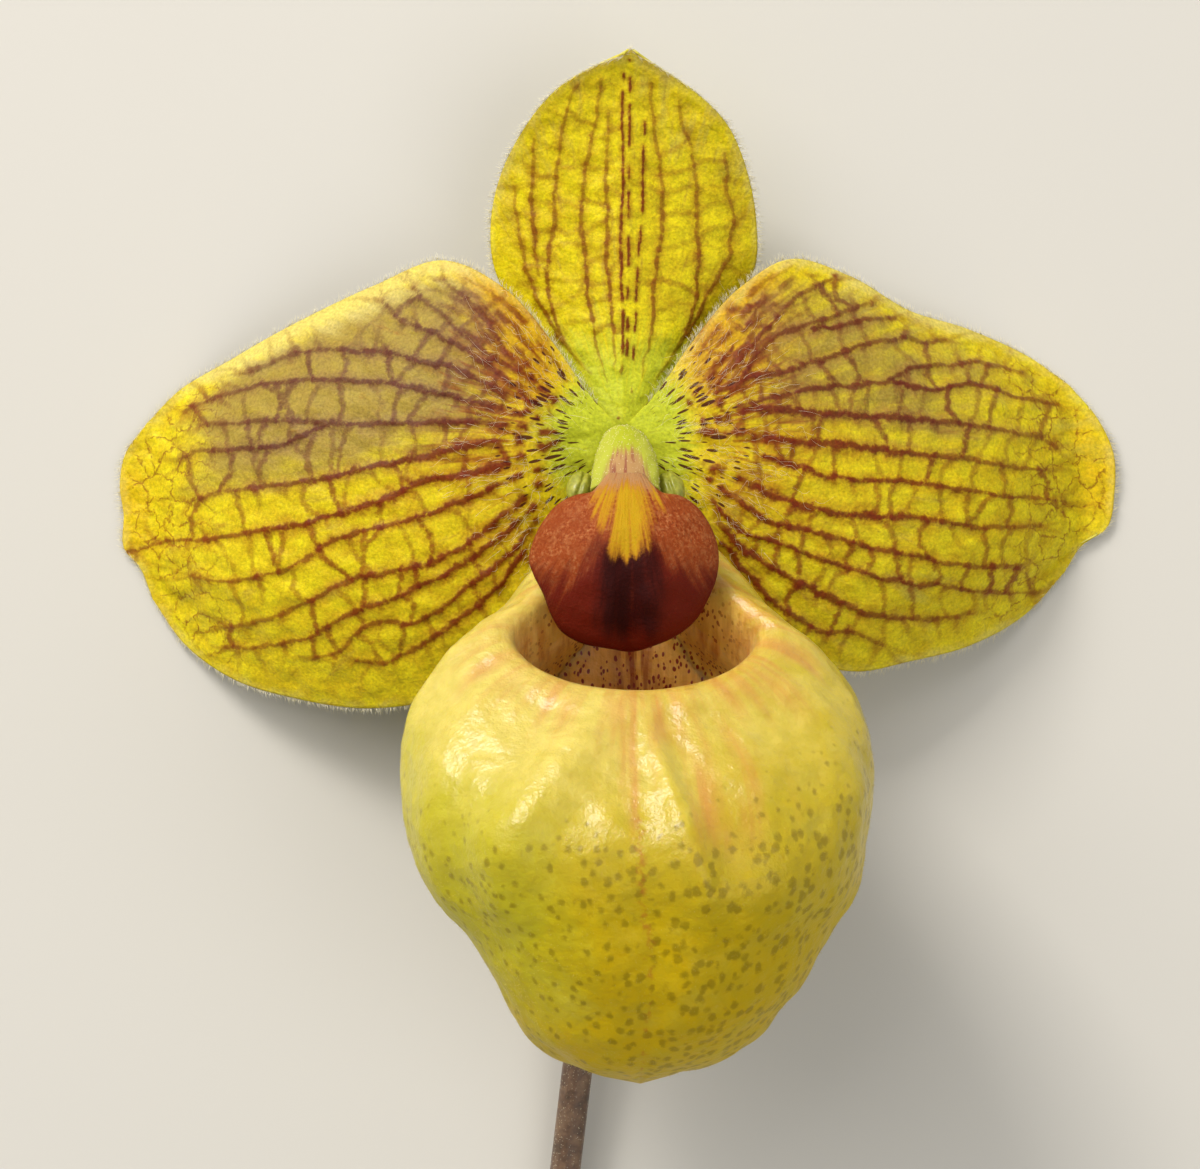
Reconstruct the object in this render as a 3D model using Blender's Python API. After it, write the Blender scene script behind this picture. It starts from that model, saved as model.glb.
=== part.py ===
"""A slipper-orchid bloom, cut with a length of its stem and laid on a surface with its face up.

Sizes are in millimetres in the flower's own frame: the point where the petals meet is its centre, +X is the
flower's right as it is looked at, +Y runs towards the tip of the upper sepal and +Z out of its face.
to_world moves that frame so that the bloom lies on z = 0 with the middle of its footprint at the origin.
"""

import math

import bmesh
import bpy
import numpy as np

MM = 0.001

# Driving dimensions, in millimetres
CENTRE_HEIGHT = 17.6  # the petals' meeting point above the surface that the bloom lies on
FOOTPRINT_SHIFT = (0.35, 48.2)  # from the flower's centre to the middle of the footprint, reversed
SEAM = 0.3  # the gap kept between pieces that grow against each other

SEPAL_THICKNESS = 0.8
PETAL_THICKNESS = 0.8
POUCH_WALL = 0.9
BRACT_THICKNESS = 0.7
SHIELD_THICKNESS = 1.3

STEM_RADIUS = 1.6
STEM_LENGTH = 110.0
STEM_CUT_SLANT = 0.6  # how far the cut end leans, per millimetre across the stem
OVARY_RADIUS = 2.15
COLUMN_RADIUS = 3.3

# Outlines of the flat blades as seen from the front. Each side runs from the base to the blunt tip.
LEFT_PETAL = {
    "upper": [(-0.5, 1.6), (-3.0, 4.3), (-6.8, 9.7), (-11.9, 15.5), (-18.2, 18.6), (-25.6, 16.3),
              (-33.6, 12.8), (-40.6, 9.3), (-46.7, 6.0), (-50.3, 2.4)],
    "lower": [(-0.5, -1.6), (-3.2, -6.0), (-6.3, -13.6), (-11.4, -21.3), (-18.7, -26.2), (-26.0, -27.4),
              (-33.9, -26.5), (-41.1, -24.4), (-46.2, -20.9), (-49.6, -16.2)],
    "tip": [(-50.3, 2.4), (-52.6, -1.0), (-53.1, -4.0), (-52.7, -7.2), (-52.6, -10.9), (-51.0, -12.8),
            (-49.6, -16.2)],
}
RIGHT_PETAL = {
    "upper": [(0.5, 1.6), (3.3, 4.6), (6.9, 9.7), (12.1, 15.7), (17.3, 18.8), (23.6, 17.3),
              (30.0, 13.9), (36.5, 12.2), (43.0, 9.6), (47.5, 6.5)],
    "lower": [(0.5, -1.6), (3.9, -6.0), (6.9, -12.1), (11.6, -16.7), (17.8, -21.9), (24.1, -23.6),
              (30.0, -22.6), (36.5, -21.0), (43.0, -17.6), (47.0, -13.3)],
    "tip": [(47.5, 6.5), (50.6, 2.8), (52.2, -0.8), (52.3, -4.6), (51.4, -8.7), (48.9, -10.4),
            (47.0, -13.3)],
}
UPPER_SEPAL = {
    "upper": [(-1.4, 0.6), (-3.2, 4.0), (-7.4, 8.9), (-11.0, 13.7), (-13.2, 18.3), (-13.5, 22.4),
              (-12.6, 26.9), (-10.0, 31.8), (-6.2, 35.9), (-2.3, 38.0), (0.3, 38.9)],
    "lower": [(1.4, 0.6), (3.4, 4.0), (7.0, 8.9), (11.2, 13.7), (13.8, 18.3), (13.9, 22.4),
              (13.1, 26.9), (10.7, 32.2), (7.4, 35.3), (3.8, 37.6), (1.5, 38.9)],
    "tip": [(0.3, 38.9), (0.9, 39.4), (1.5, 38.9)],
}
LOWER_SEPAL = {
    "upper": [(1.4, -0.6), (5.0, -4.5), (10.0, -12.0), (13.6, -21.5), (13.8, -30.5), (11.0, -39.0),
              (5.6, -46.2), (2.0, -48.8)],
    "lower": [(-1.4, -0.6), (-5.0, -4.5), (-10.0, -12.0), (-13.4, -21.5), (-13.4, -30.5), (-10.4, -39.0),
              (-4.8, -46.2), (-1.0, -48.8)],
    "tip": [(2.0, -48.8), (0.5, -47.9), (-1.0, -48.8)],
}

# How far each blade's face stands in front of the petals' meeting point: pairs of a share of its length and a
# height. A rib line gives the height along the middle, and a bend what the margins lie behind or before it.
PETAL_RIB = [(0, -0.7), (0.12, -0.4), (0.3, 0.6), (0.5, -1.1), (0.75, -7.6), (0.92, -16.4), (1, -20.0)]
PETAL_UPPER_BEND = [(0, 0), (0.15, 1.2), (0.32, 3.4), (0.5, 6.0), (0.75, 5.0), (1, -0.8)]
PETAL_LOWER_BEND = [(0, 0), (0.15, 1.6), (0.32, 3.6), (0.5, 5.2), (0.75, 4.4), (1, -0.8)]
PETAL_BEND_POWER = 2.1
PETAL_WAVE = 0.5  # height of the waves in a petal's margin
PETAL_REST = -16.9  # the face of a petal's tip where it lies flat on the surface
PETAL_REST_EASE = 0.3  # how softly a petal meets that level
UPPER_SEPAL_RIB = [(0, -2.0), (0.2, -3.4), (0.45, -3.6), (0.7, -2.6), (0.9, -1.0), (1, 0.2)]
UPPER_SEPAL_CUP = [(0, 0), (0.2, -2.2), (0.4, -3.6), (0.6, -2.6), (0.8, 0.2), (1, 0)]
UPPER_SEPAL_KEEL = (0.45, 0.12)  # height and width of the ridge along the middle
LOWER_SEPAL_RIB = [(0, -2.0), (0.06, -2.3), (0.16, -4.6), (0.3, -6.6), (0.6, -7.8), (1, -9.0)]
LOWER_SEPAL_CUP = [(0, 0), (0.3, 0.8), (0.6, 2.2), (1, 0.4)]
LOWER_SEPAL_GROOVE = (0.5, 0.15)  # depth and width of the seam where its two halves have grown together

# The pouch is lofted through rings that tilt from its mouth to its toe. Each row gives a ring's centre y and
# z, its half width, its depth to the front and to the back, its tilt in degrees and its shift sideways.
POUCH_RINGS = [
    (-21.1, 7.8, 11.8, 10.2, 11.2, 45.0, 1.2),
    (-18.8, 10.2, 11.8, 10.0, 12.0, 45.0, 1.2),
    (-17.2, 12.0, 12.4, 10.5, 14.2, 45.0, 1.2),
    (-16.7, 12.8, 14.2, 12.3, 15.6, 45.0, 1.2),
    (-17.6, 12.4, 16.9, 15.0, 15.8, 43.0, 1.2),
    (-20.6, 11.8, 20.2, 18.2, 16.4, 37.0, 1.3),
    (-25.0, 11.7, 22.6, 19.9, 16.6, 29.0, 1.3),
    (-31.0, 12.0, 23.6, 20.3, 16.5, 20.0, 1.4),
    (-37.6, 12.4, 23.1, 19.6, 16.0, 11.0, 1.6),
    (-43.5, 12.8, 21.4, 18.3, 14.8, 4.0, 1.9),
    (-49.3, 13.4, 17.5, 16.4, 12.8, -2.0, 2.4),
    (-54.0, 13.9, 14.8, 14.2, 10.8, -5.0, 2.5),
    (-58.2, 14.4, 11.8, 11.3, 8.4, -8.0, 2.1),
    (-61.1, 14.8, 7.8, 7.6, 5.6, -10.0, 1.8),
    (-62.6, 15.0, 3.6, 3.6, 2.8, -10.0, 1.7),
]
POUCH_TOE = (1.7, -62.9, 15.0)
MOUTH_RINGS = 4  # the first rings, which roll in round the mouth
MOUTH_PINCH = 0.5  # how much narrower the mouth is at its back
MOUTH_SADDLE = 1.6  # how much lower the rim is at its sides
BACK_ROLL = 3.3  # how far the rim's back turns up out of the mouth
FRONT_GROOVE = (0.9, 0.16)  # depth and width of the groove down the pouch's front
HEEL_GROOVE = (0.5, 0.2)

# The shield in front of the column, seen from the front, anticlockwise from its neck
SHIELD_OUTLINE = [(-1.3, -3.4), (-2.2, -4.6), (-3.0, -5.8), (-4.4, -6.3), (-6.1, -7.2), (-7.6, -8.9),
                  (-8.9, -11.0), (-9.2, -12.2), (-8.8, -13.5), (-7.8, -15.5), (-7.0, -17.6), (-6.0, -19.2),
                  (-4.4, -20.2), (-1.2, -20.9), (0.7, -21.2), (3.0, -20.6), (5.1, -19.7), (7.2, -18.0),
                  (8.3, -16.1), (9.1, -14.2), (9.4, -12.3), (9.2, -10.4), (8.5, -8.7), (7.3, -7.0),
                  (5.6, -5.9), (3.7, -5.5), (2.7, -4.5), (1.7, -3.4)]
SHIELD_MIDDLE = (0.3, -12.4)
SHIELD_HALF_SIZE = (9.2, 8.8)
SHIELD_HEIGHT = 12.0  # of its margin, half-way up
SHIELD_DOME = 4.6
SHIELD_FOLD = (1.4, 0.14)  # depth and width of the crease up its lower half

COLUMN_LINE = [(0.1, -0.6, -0.2), (0.2, -0.7, 1.9), (0.3, -1.5, 4.6), (0.3, -3.2, 7.1), (0.3, -5.4, 8.5)]
STEM_BEND = (-0.3, -25.0, -12.4)  # where the bract sits and the stem turns into the ovary
OVARY_LINE = [STEM_BEND, (-0.2, -17.0, -12.1), (-0.1, -9.0, -10.9), (0.0, -3.3, -8.3), (0.0, -0.6, -5.3),
              (0.0, -0.2, -3.9)]
STEM_LEAN = 0.118  # the stem leaves sideways by this much per millimetre of its length
STEM_END_HEIGHT = -16.15

# Mesh density
PETAL_GRID = (22, 18)
SEPAL_GRID = (18, 12)
POUCH_SIDES = 40
POUCH_STEPS = 27
SHIELD_SPOKES = 36
SHIELD_STEPS = 6
STEM_SIDES = 14
OVARY_SIDES = 18
COLUMN_SIDES = 20


def clear_scene():
    for obj in list(bpy.data.objects):
        bpy.data.objects.remove(obj)


def to_world(points):
    shift = np.array([FOOTPRINT_SHIFT[0], FOOTPRINT_SHIFT[1], CENTRE_HEIGHT])
    return (np.asarray(points, float) + shift) * MM


def smooth(knots, values, places):
    """A smooth curve through the values at their knots, read at the places asked for."""
    knots = np.asarray(knots, float)
    values = np.asarray(values, float)
    places = np.clip(np.asarray(places, float), knots[0], knots[-1])
    step = np.diff(knots).reshape((-1,) + (1,) * (values.ndim - 1))
    slope = np.diff(values, axis=0) / step
    inner = (step[:-1] * slope[1:] + step[1:] * slope[:-1]) / (step[:-1] + step[1:])
    tangent = np.concatenate([slope[:1], inner, slope[-1:]])
    i = np.clip(np.searchsorted(knots, places, side="right") - 1, 0, len(knots) - 2)
    width = step[i]
    x = (places - knots[i]).reshape(places.shape + (1,) * (values.ndim - 1)) / width
    start = values[i] * (1 + 2 * x) * (1 - x) ** 2 + width * tangent[i] * x * (1 - x) ** 2
    end = values[i + 1] * x**2 * (3 - 2 * x) + width * tangent[i + 1] * x**2 * (x - 1)
    return start + end


def curve_through(points, count):
    """Points at even distances along a smooth curve through the given ones."""
    points = np.asarray(points, float)
    steps = np.linalg.norm(np.diff(points, axis=0), axis=1)
    length = np.concatenate([[0.0], np.cumsum(steps)])
    return smooth(length, points, np.linspace(0, length[-1], count))


def blade_plan(outline, grid):
    """The blade's outline filled with lines from base to tip: a grid of x and y, s along and t across."""
    along, across = grid
    upper = curve_through(outline["upper"], along + 1)[:, None]
    lower = curve_through(outline["lower"], along + 1)[:, None]
    tip = curve_through(outline["tip"], across + 1)[None, :]
    s = np.linspace(0, 1, along + 1)[:, None, None]
    t = np.linspace(0, 1, across + 1)[None, :, None]
    base = upper[0] * (1 - t) + lower[0] * t
    corners = (1 - s) * base + s * (upper[-1] * (1 - t) + lower[-1] * t)
    plan = (1 - t) * upper + t * lower + (1 - s) * base + s * tip - corners
    return plan, np.broadcast_to(s[..., 0], plan.shape[:2]), np.broadcast_to(t[..., 0], plan.shape[:2])


def profile(pairs, places):
    """A smooth line through pairs of a place and a value, read at the places asked for."""
    knots, values = zip(*pairs)
    return smooth(knots, values, places)


def ridge(size, v, s):
    """A rounded ridge along a blade's middle, which fades at both ends."""
    height, width = size
    return height * np.exp(-((v / width) ** 2)) * np.sin(math.pi * s)


def petal_height(s, t, wave_phase):
    """A petal arches along its length, its margins bend back and wave, and its tip flattens below."""
    v = 2 * t - 1
    bend = np.where(v < 0, profile(PETAL_UPPER_BEND, s), profile(PETAL_LOWER_BEND, s))
    bend = bend * np.abs(v) ** PETAL_BEND_POWER
    wave = PETAL_WAVE * s**2 * v**2 * np.sin(17 * s + 5 * v + wave_phase)
    above = profile(PETAL_RIB, s) - bend + wave - PETAL_REST
    return PETAL_REST + 0.5 * (above + np.sqrt(above**2 + PETAL_REST_EASE**2))


def upper_sepal_height(s, t):
    v = 2 * t - 1
    return profile(UPPER_SEPAL_RIB, s) + profile(UPPER_SEPAL_CUP, s) * v**2 + ridge(UPPER_SEPAL_KEEL, v, s)


def lower_sepal_height(s, t):
    v = 2 * t - 1
    return profile(LOWER_SEPAL_RIB, s) + profile(LOWER_SEPAL_CUP, s) * v**2 - ridge(LOWER_SEPAL_GROOVE, v, s)


def blade_points(outline, grid, height, *more):
    plan, s, t = blade_plan(outline, grid)
    return np.dstack([plan, height(s, t, *more)])


def pouch_rows(steps):
    """The rows of POUCH_RINGS read at even distances, each with its distance from the mouth's free edge."""
    rows = np.array(POUCH_RINGS)
    between = np.linalg.norm(np.diff(rows[:, :4], axis=0), axis=1)
    knots = np.concatenate([[0.0], np.cumsum(between)])
    places = np.linspace(0, knots[-1], steps + 1)
    return smooth(knots, rows, places), places / knots[MOUTH_RINGS - 1]


def pouch_points(sides, steps):
    """The pouch's outer skin as rings, from the free edge in the mouth over the rolled rim to the toe."""
    angle = np.linspace(0, 2 * math.pi, sides, endpoint=False)
    front = np.cos(angle)
    side = np.sin(angle)
    backness = np.clip(-front, 0, 1)
    past_sides = np.clip((0.25 - front) / 0.7, 0, 1)
    past_sides = past_sides**2 * (3 - 2 * past_sides)
    front_groove = FRONT_GROOVE[0] * np.exp(-((side / FRONT_GROOVE[1]) ** 2)) * (front > 0)
    heel_groove = HEEL_GROOVE[0] * np.exp(-((side / HEEL_GROOVE[1]) ** 2)) * (front < 0)
    rings = []
    for (y, z, width, ahead, behind, tilt, shift), u in zip(*pouch_rows(steps)):
        pinch = 1 - MOUTH_PINCH * math.exp(-((u / 2.6) ** 2)) * past_sides
        toward_toe = np.clip((u - 1.6) / 4.0, 0, 1)
        depth = np.where(front > 0, ahead, behind) - toward_toe * (front_groove + heel_groove)
        lift = BACK_ROLL * max(0.0, 1 - u) * backness - MOUTH_SADDLE * math.exp(-((u / 1.9) ** 2)) * side**2
        lean = math.radians(tilt)
        rings.append(np.stack([
            shift + width * side * pinch,
            y - depth * front * math.sin(lean) + lift * math.cos(lean),
            z + depth * front * math.cos(lean) + lift * math.sin(lean),
        ], axis=1))
    return np.array(rings)


def shield_height(x, y):
    across = (x - SHIELD_MIDDLE[0]) / SHIELD_HALF_SIZE[0]
    up = (y - SHIELD_MIDDLE[1]) / SHIELD_HALF_SIZE[1]
    dome = SHIELD_DOME * (1 - np.clip(across**2 + up**2, 0, 1.4))
    fold = SHIELD_FOLD[0] * np.exp(-((across / SHIELD_FOLD[1]) ** 2)) * np.clip(0.35 - up, 0, 1) ** 0.8
    return SHIELD_HEIGHT - up + dome - fold


def shield_points(spokes, steps):
    """Rings from the shield's margin in to its middle, which is left out."""
    edge = curve_through(SHIELD_OUTLINE + SHIELD_OUTLINE[:1], spokes + 1)[:0:-1]
    middle = np.array(SHIELD_MIDDLE)
    rings = []
    for share in np.linspace(1, 0, steps + 1)[:-1]:
        at = middle + (edge - middle) * share
        rings.append(np.column_stack([at, shield_height(at[:, 0], at[:, 1])]))
    return np.array(rings)


def skin_object(name, rows, material, thickness, wrap=False, pole=None):
    """A sheet of triangles through rows of points, given its thickness behind the face that is modelled."""
    count, width = rows.shape[:2]
    mesh = bmesh.new()
    verts = [[mesh.verts.new(p) for p in row] for row in to_world(rows)]
    for i in range(count - 1):
        for j in range(width if wrap else width - 1):
            k = (j + 1) % width
            mesh.faces.new((verts[i][j], verts[i + 1][j], verts[i + 1][k]))
            mesh.faces.new((verts[i][j], verts[i + 1][k], verts[i][k]))
    if pole is not None:
        end = mesh.verts.new(to_world(pole))
        for j in range(width):
            mesh.faces.new((verts[-1][j], end, verts[-1][(j + 1) % width]))
    obj = object_from(name, mesh, material)
    solid = obj.modifiers.new("thickness", "SOLIDIFY")
    solid.thickness = thickness * MM
    solid.offset = -1.0
    solid.use_even_offset = False
    return obj


def object_from(name, mesh, material):
    data = bpy.data.meshes.new(name)
    mesh.to_mesh(data)
    mesh.free()
    data.materials.append(material)
    data.shade_smooth()
    obj = bpy.data.objects.new(name, data)
    bpy.context.scene.collection.objects.link(obj)
    return obj


def tube_object(name, line, radius_at, sides, material, slant=0.0):
    """A closed tube round a line. radius_at gives the radius for a share of its length and an angle."""
    line = np.asarray(line, float)
    tangents = np.gradient(line, axis=0)
    tangents /= np.linalg.norm(tangents, axis=1)[:, None]
    across = np.array([1.0, 0.0, 0.0])
    angle = np.linspace(0, 2 * math.pi, sides, endpoint=False)
    mesh = bmesh.new()
    rings = []
    for i, (point, tangent) in enumerate(zip(line, tangents)):
        across -= tangent * np.dot(across, tangent)
        across /= np.linalg.norm(across)
        up = np.cross(across, tangent)
        radius = radius_at(i / (len(line) - 1), angle)
        ring = point + np.outer(radius * np.cos(angle), across) + np.outer(radius * np.sin(angle), up)
        if i == 0:
            ring += np.outer(slant * radius * np.sin(angle), tangent)
        rings.append([mesh.verts.new(p) for p in to_world(ring)])
    for near, far in zip(rings, rings[1:]):
        for j in range(sides):
            k = (j + 1) % sides
            mesh.faces.new((near[j], near[k], far[k], far[j]))
    for ring in (rings[0][::-1], rings[-1]):
        mesh.faces.new(ring)
    bmesh.ops.recalc_face_normals(mesh, faces=mesh.faces)
    bmesh.ops.triangulate(mesh, faces=mesh.faces)
    return object_from(name, mesh, material)


def egg_object(name, centre, radii, turn, material, segments=12, rings=8):
    mesh = bmesh.new()
    bmesh.ops.create_uvsphere(mesh, u_segments=segments, v_segments=rings, radius=MM)
    bmesh.ops.scale(mesh, vec=radii, verts=mesh.verts)
    obj = object_from(name, mesh, material)
    obj.location = to_world(centre)
    obj.rotation_euler = [math.radians(a) for a in turn]
    return obj


def press_on_surface(obj):
    """Flattens what would reach under the table, as a soft blade gives way under its own weight."""
    bpy.context.view_layer.update()
    graph = bpy.context.evaluated_depsgraph_get()
    obj.data = bpy.data.meshes.new_from_object(obj.evaluated_get(graph))
    obj.modifiers.clear()
    for vertex in obj.data.vertices:
        vertex.co.z = max(vertex.co.z, 0.0)


def plant_material(name, colour, roughness):
    material = bpy.data.materials.new(name)
    material.use_nodes = True
    shader = material.node_tree.nodes["Principled BSDF"]
    shader.inputs["Base Color"].default_value = (*colour, 1.0)
    shader.inputs["Roughness"].default_value = roughness
    shader.inputs["Metallic"].default_value = 0.0
    return material


def make_petals(material):
    left = blade_points(LEFT_PETAL, PETAL_GRID, petal_height, 0.4)
    right = blade_points(RIGHT_PETAL, PETAL_GRID, petal_height, 2.1)
    for name, points in (("petal_left", left), ("petal_right", right[:, ::-1])):
        press_on_surface(skin_object(name, points, material, PETAL_THICKNESS))


def make_sepals(material):
    upper = blade_points(UPPER_SEPAL, SEPAL_GRID, upper_sepal_height)
    skin_object("sepal_upper", upper[:, ::-1], material, SEPAL_THICKNESS)
    lower = blade_points(LOWER_SEPAL, SEPAL_GRID, lower_sepal_height)
    skin_object("sepal_lower", lower[:, ::-1], material, SEPAL_THICKNESS)


def make_pouch(material):
    rings = pouch_points(POUCH_SIDES, POUCH_STEPS)
    skin_object("pouch", rings, material, POUCH_WALL, wrap=True, pole=POUCH_TOE)


def make_shield(material):
    rings = shield_points(SHIELD_SPOKES, SHIELD_STEPS)
    middle = (*SHIELD_MIDDLE, shield_height(*np.array(SHIELD_MIDDLE)))
    skin_object("staminode", rings, material, SHIELD_THICKNESS, wrap=True, pole=middle)


def make_column(body, pollen, receptive):
    def radius(share, angle):
        wide = COLUMN_RADIUS * (0.8 + 0.6 * share**1.5)
        deep = COLUMN_RADIUS * (0.72 - 0.25 * share)
        return 1 / np.sqrt((np.cos(angle) / wide) ** 2 + (np.sin(angle) / deep) ** 2)

    tube_object("column", curve_through(COLUMN_LINE, 10), radius, COLUMN_SIDES, body)
    egg_object("stigma", (0.3, -7.2, 5.0), (2.6, 2.1, 1.1), (-52, 0, 0), receptive)
    for name, side in (("anther_left", -1), ("anther_right", 1)):
        egg_object(name, (0.3 + side * 4.5, -5.0, 5.7), (1.4, 2.0, 1.4), (-40, 0, side * 18), pollen)


def make_ovary(material):
    def radius(share, angle):
        swell = 0.85 + 0.28 * math.sin(math.pi * share) + 0.2 * max(0.0, share - 0.86) / 0.14
        ribs = 1 + 0.07 * np.cos(3 * angle) + 0.06 * np.cos(6 * angle)
        return OVARY_RADIUS * swell * ribs

    tube_object("ovary", curve_through(OVARY_LINE, 19), radius, OVARY_SIDES, material)


def stem_line():
    """The stem from its cut end to the bract, lying nearly flat."""
    bend = np.array(STEM_BEND)
    share = np.linspace(1, 0, 6)
    x = bend[0] - STEM_LEAN * STEM_LENGTH * share**1.1
    y = bend[1] - STEM_LENGTH * share
    z = bend[2] + (STEM_END_HEIGHT - bend[2]) * np.sin(share * math.pi / 2)
    line = curve_through(np.column_stack([x, y, z]), 26)
    return line - np.array([0, 1.5 * SEAM, 0])


def make_stem(material):
    def radius(share, angle):
        collar = 0.35 * max(0.0, (share - 0.9) / 0.1) ** 2
        return (STEM_RADIUS + collar) * (1 + 0.03 * np.cos(5 * angle + 6 * share))

    stem = tube_object("stem", stem_line(), radius, STEM_SIDES, material, slant=STEM_CUT_SLANT)
    press_on_surface(stem)


def make_bract(material):
    """The sheathing leaflet that wraps the joint of stem and ovary, open on top, and ends in a point."""
    line = curve_through(OVARY_LINE, 60)[2:40:3]
    tangents = np.gradient(line, axis=0)
    tangents /= np.linalg.norm(tangents, axis=1)[:, None]
    rows = []
    for share, point, tangent in zip(np.linspace(0, 1, len(line)), line, tangents):
        up = np.cross((1.0, 0.0, 0.0), tangent)
        half = math.radians(150 - 50 * share - 95 * share**3)
        angle = np.linspace(-half, half, 10)
        radius = 3.2 + 1.5 * share**1.5
        rows.append(point + radius * (np.outer(np.sin(angle), (1.0, 0.0, 0.0)) - np.outer(np.cos(angle), up)))
    skin_object("bract", np.array(rows), material, BRACT_THICKNESS)


def main():
    clear_scene()
    yellow = plant_material("petal_yellow", (0.62, 0.52, 0.03), 0.55)
    green_yellow = plant_material("sepal_yellow", (0.58, 0.53, 0.04), 0.55)
    waxy = plant_material("pouch_yellow", (0.68, 0.58, 0.06), 0.38)
    maroon = plant_material("staminode_maroon", (0.19, 0.015, 0.008), 0.45)
    pale = plant_material("column_pale", (0.62, 0.62, 0.38), 0.5)
    pollen = plant_material("pollen_yellow", (0.72, 0.5, 0.06), 0.35)
    receptive = plant_material("stigma_cream", (0.66, 0.64, 0.42), 0.25)
    hairy = plant_material("stem_brown", (0.24, 0.12, 0.07), 0.8)
    ovary = plant_material("ovary_green", (0.22, 0.2, 0.07), 0.8)
    sheath = plant_material("bract_green", (0.26, 0.33, 0.09), 0.6)
    make_petals(yellow)
    make_sepals(green_yellow)
    make_pouch(waxy)
    make_shield(maroon)
    make_column(pale, pollen, receptive)
    make_ovary(ovary)
    make_stem(hairy)
    make_bract(sheath)


main()
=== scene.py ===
"""A slipper-orchid bloom, cut with its stem and laid face up on a pale table.

Points are in millimetres in the flower's own frame, as in the part's source. Its centre is where the petals
meet, +X is its right as it is looked at, +Y runs to the tip of the upper sepal and +Z comes out of its face.
"""
import math

import bpy
import numpy as np
from bpy.props import FloatProperty, FloatVectorProperty, PointerProperty
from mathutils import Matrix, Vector


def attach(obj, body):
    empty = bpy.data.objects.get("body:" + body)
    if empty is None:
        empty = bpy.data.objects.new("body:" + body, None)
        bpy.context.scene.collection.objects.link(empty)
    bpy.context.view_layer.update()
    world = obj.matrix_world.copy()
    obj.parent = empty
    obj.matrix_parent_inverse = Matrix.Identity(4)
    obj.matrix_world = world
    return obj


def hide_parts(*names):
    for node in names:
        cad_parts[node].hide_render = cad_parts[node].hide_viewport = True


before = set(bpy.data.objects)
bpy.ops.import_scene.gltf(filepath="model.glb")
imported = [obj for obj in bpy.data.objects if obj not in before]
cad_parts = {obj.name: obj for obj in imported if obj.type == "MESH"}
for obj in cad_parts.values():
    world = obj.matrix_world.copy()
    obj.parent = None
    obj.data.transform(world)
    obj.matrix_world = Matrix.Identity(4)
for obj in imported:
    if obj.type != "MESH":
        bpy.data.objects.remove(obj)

bl_info = {
    "name": "Slipper orchid bloom",
    "version": (1, 0, 0),
    "blender": (4, 5, 0),
    "location": "3D View > Sidebar > Orchid",
    "description": "Builds a slipper-orchid bloom over its CAD frame",
    "category": "Add Mesh",
}

MM = 0.001
CENTRE = np.array([0.35, 48.2, 17.6])  # the flower's centre above the middle of its footprint

# The camera stands straight over a point beside the flower's centre, so what it sees of a point that is z in
# front of the petals' plane is spread out from that axis.
CAMERA_AXIS = np.array([-2.224, -14.606])
CAMERA_DISTANCE = 350.0
PHOTO_WIDTH_MM = 121.3
SENSOR_MM = 36

# How many steps each skin has: along and across a blade, down and round the pouch
PETAL_GRID = (205, 180)
UPPER_SEPAL_GRID = (190, 130)
LOWER_SEPAL_GRID = (110, 70)
POUCH_GRID = (160, 264)

# Outlines of the blades as seen from the front. Each side runs from the base to the blunt tip.
LEFT_PETAL = {
    "upper": [(-0.5, 1.6), (-3.0, 4.3), (-6.8, 9.7), (-11.9, 15.5), (-18.2, 18.6), (-25.6, 16.3),
              (-33.6, 12.8), (-40.6, 9.3), (-46.7, 6.0), (-50.3, 2.4)],
    "lower": [(-0.5, -1.6), (-3.2, -6.0), (-6.3, -13.6), (-11.4, -21.3), (-18.7, -26.2), (-26.0, -27.4),
              (-33.9, -26.5), (-41.1, -24.4), (-46.2, -20.9), (-49.6, -16.2)],
    "tip": [(-50.3, 2.4), (-52.6, -1.0), (-53.1, -4.0), (-52.7, -7.2), (-52.6, -10.9), (-51.0, -12.8),
            (-49.6, -16.2)],
}
RIGHT_PETAL = {
    "upper": [(0.5, 1.6), (3.3, 4.6), (6.9, 9.7), (12.1, 15.7), (17.3, 18.8), (23.6, 17.3),
              (30.0, 13.9), (36.5, 12.2), (43.0, 9.6), (47.5, 6.5)],
    "lower": [(0.5, -1.6), (3.9, -6.0), (6.9, -12.1), (11.6, -16.7), (17.8, -21.9), (24.1, -23.6),
              (30.0, -22.6), (36.5, -21.0), (43.0, -17.6), (47.0, -13.3)],
    "tip": [(47.5, 6.5), (50.6, 2.8), (52.2, -0.8), (52.3, -4.6), (51.4, -8.7), (48.9, -10.4),
            (47.0, -13.3)],
}
UPPER_SEPAL = {
    "upper": [(-1.4, 0.6), (-3.2, 4.0), (-7.4, 8.9), (-11.0, 13.7), (-13.2, 18.3), (-13.5, 22.4),
              (-12.6, 26.9), (-10.0, 31.8), (-6.2, 35.9), (-2.3, 38.0), (0.3, 38.9)],
    "lower": [(1.4, 0.6), (3.4, 4.0), (7.0, 8.9), (11.2, 13.7), (13.8, 18.3), (13.9, 22.4),
              (13.1, 26.9), (10.7, 32.2), (7.4, 35.3), (3.8, 37.6), (1.5, 38.9)],
    "tip": [(0.3, 38.9), (0.9, 39.4), (1.5, 38.9)],
}
LOWER_SEPAL = {
    "upper": [(1.4, -0.6), (5.0, -4.5), (10.0, -12.0), (13.6, -21.5), (13.8, -30.5), (11.0, -39.0),
              (5.6, -46.2), (2.0, -48.8)],
    "lower": [(-1.4, -0.6), (-5.0, -4.5), (-10.0, -12.0), (-13.4, -21.5), (-13.4, -30.5), (-10.4, -39.0),
              (-4.8, -46.2), (-1.0, -48.8)],
    "tip": [(2.0, -48.8), (0.5, -47.9), (-1.0, -48.8)],
}
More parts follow.
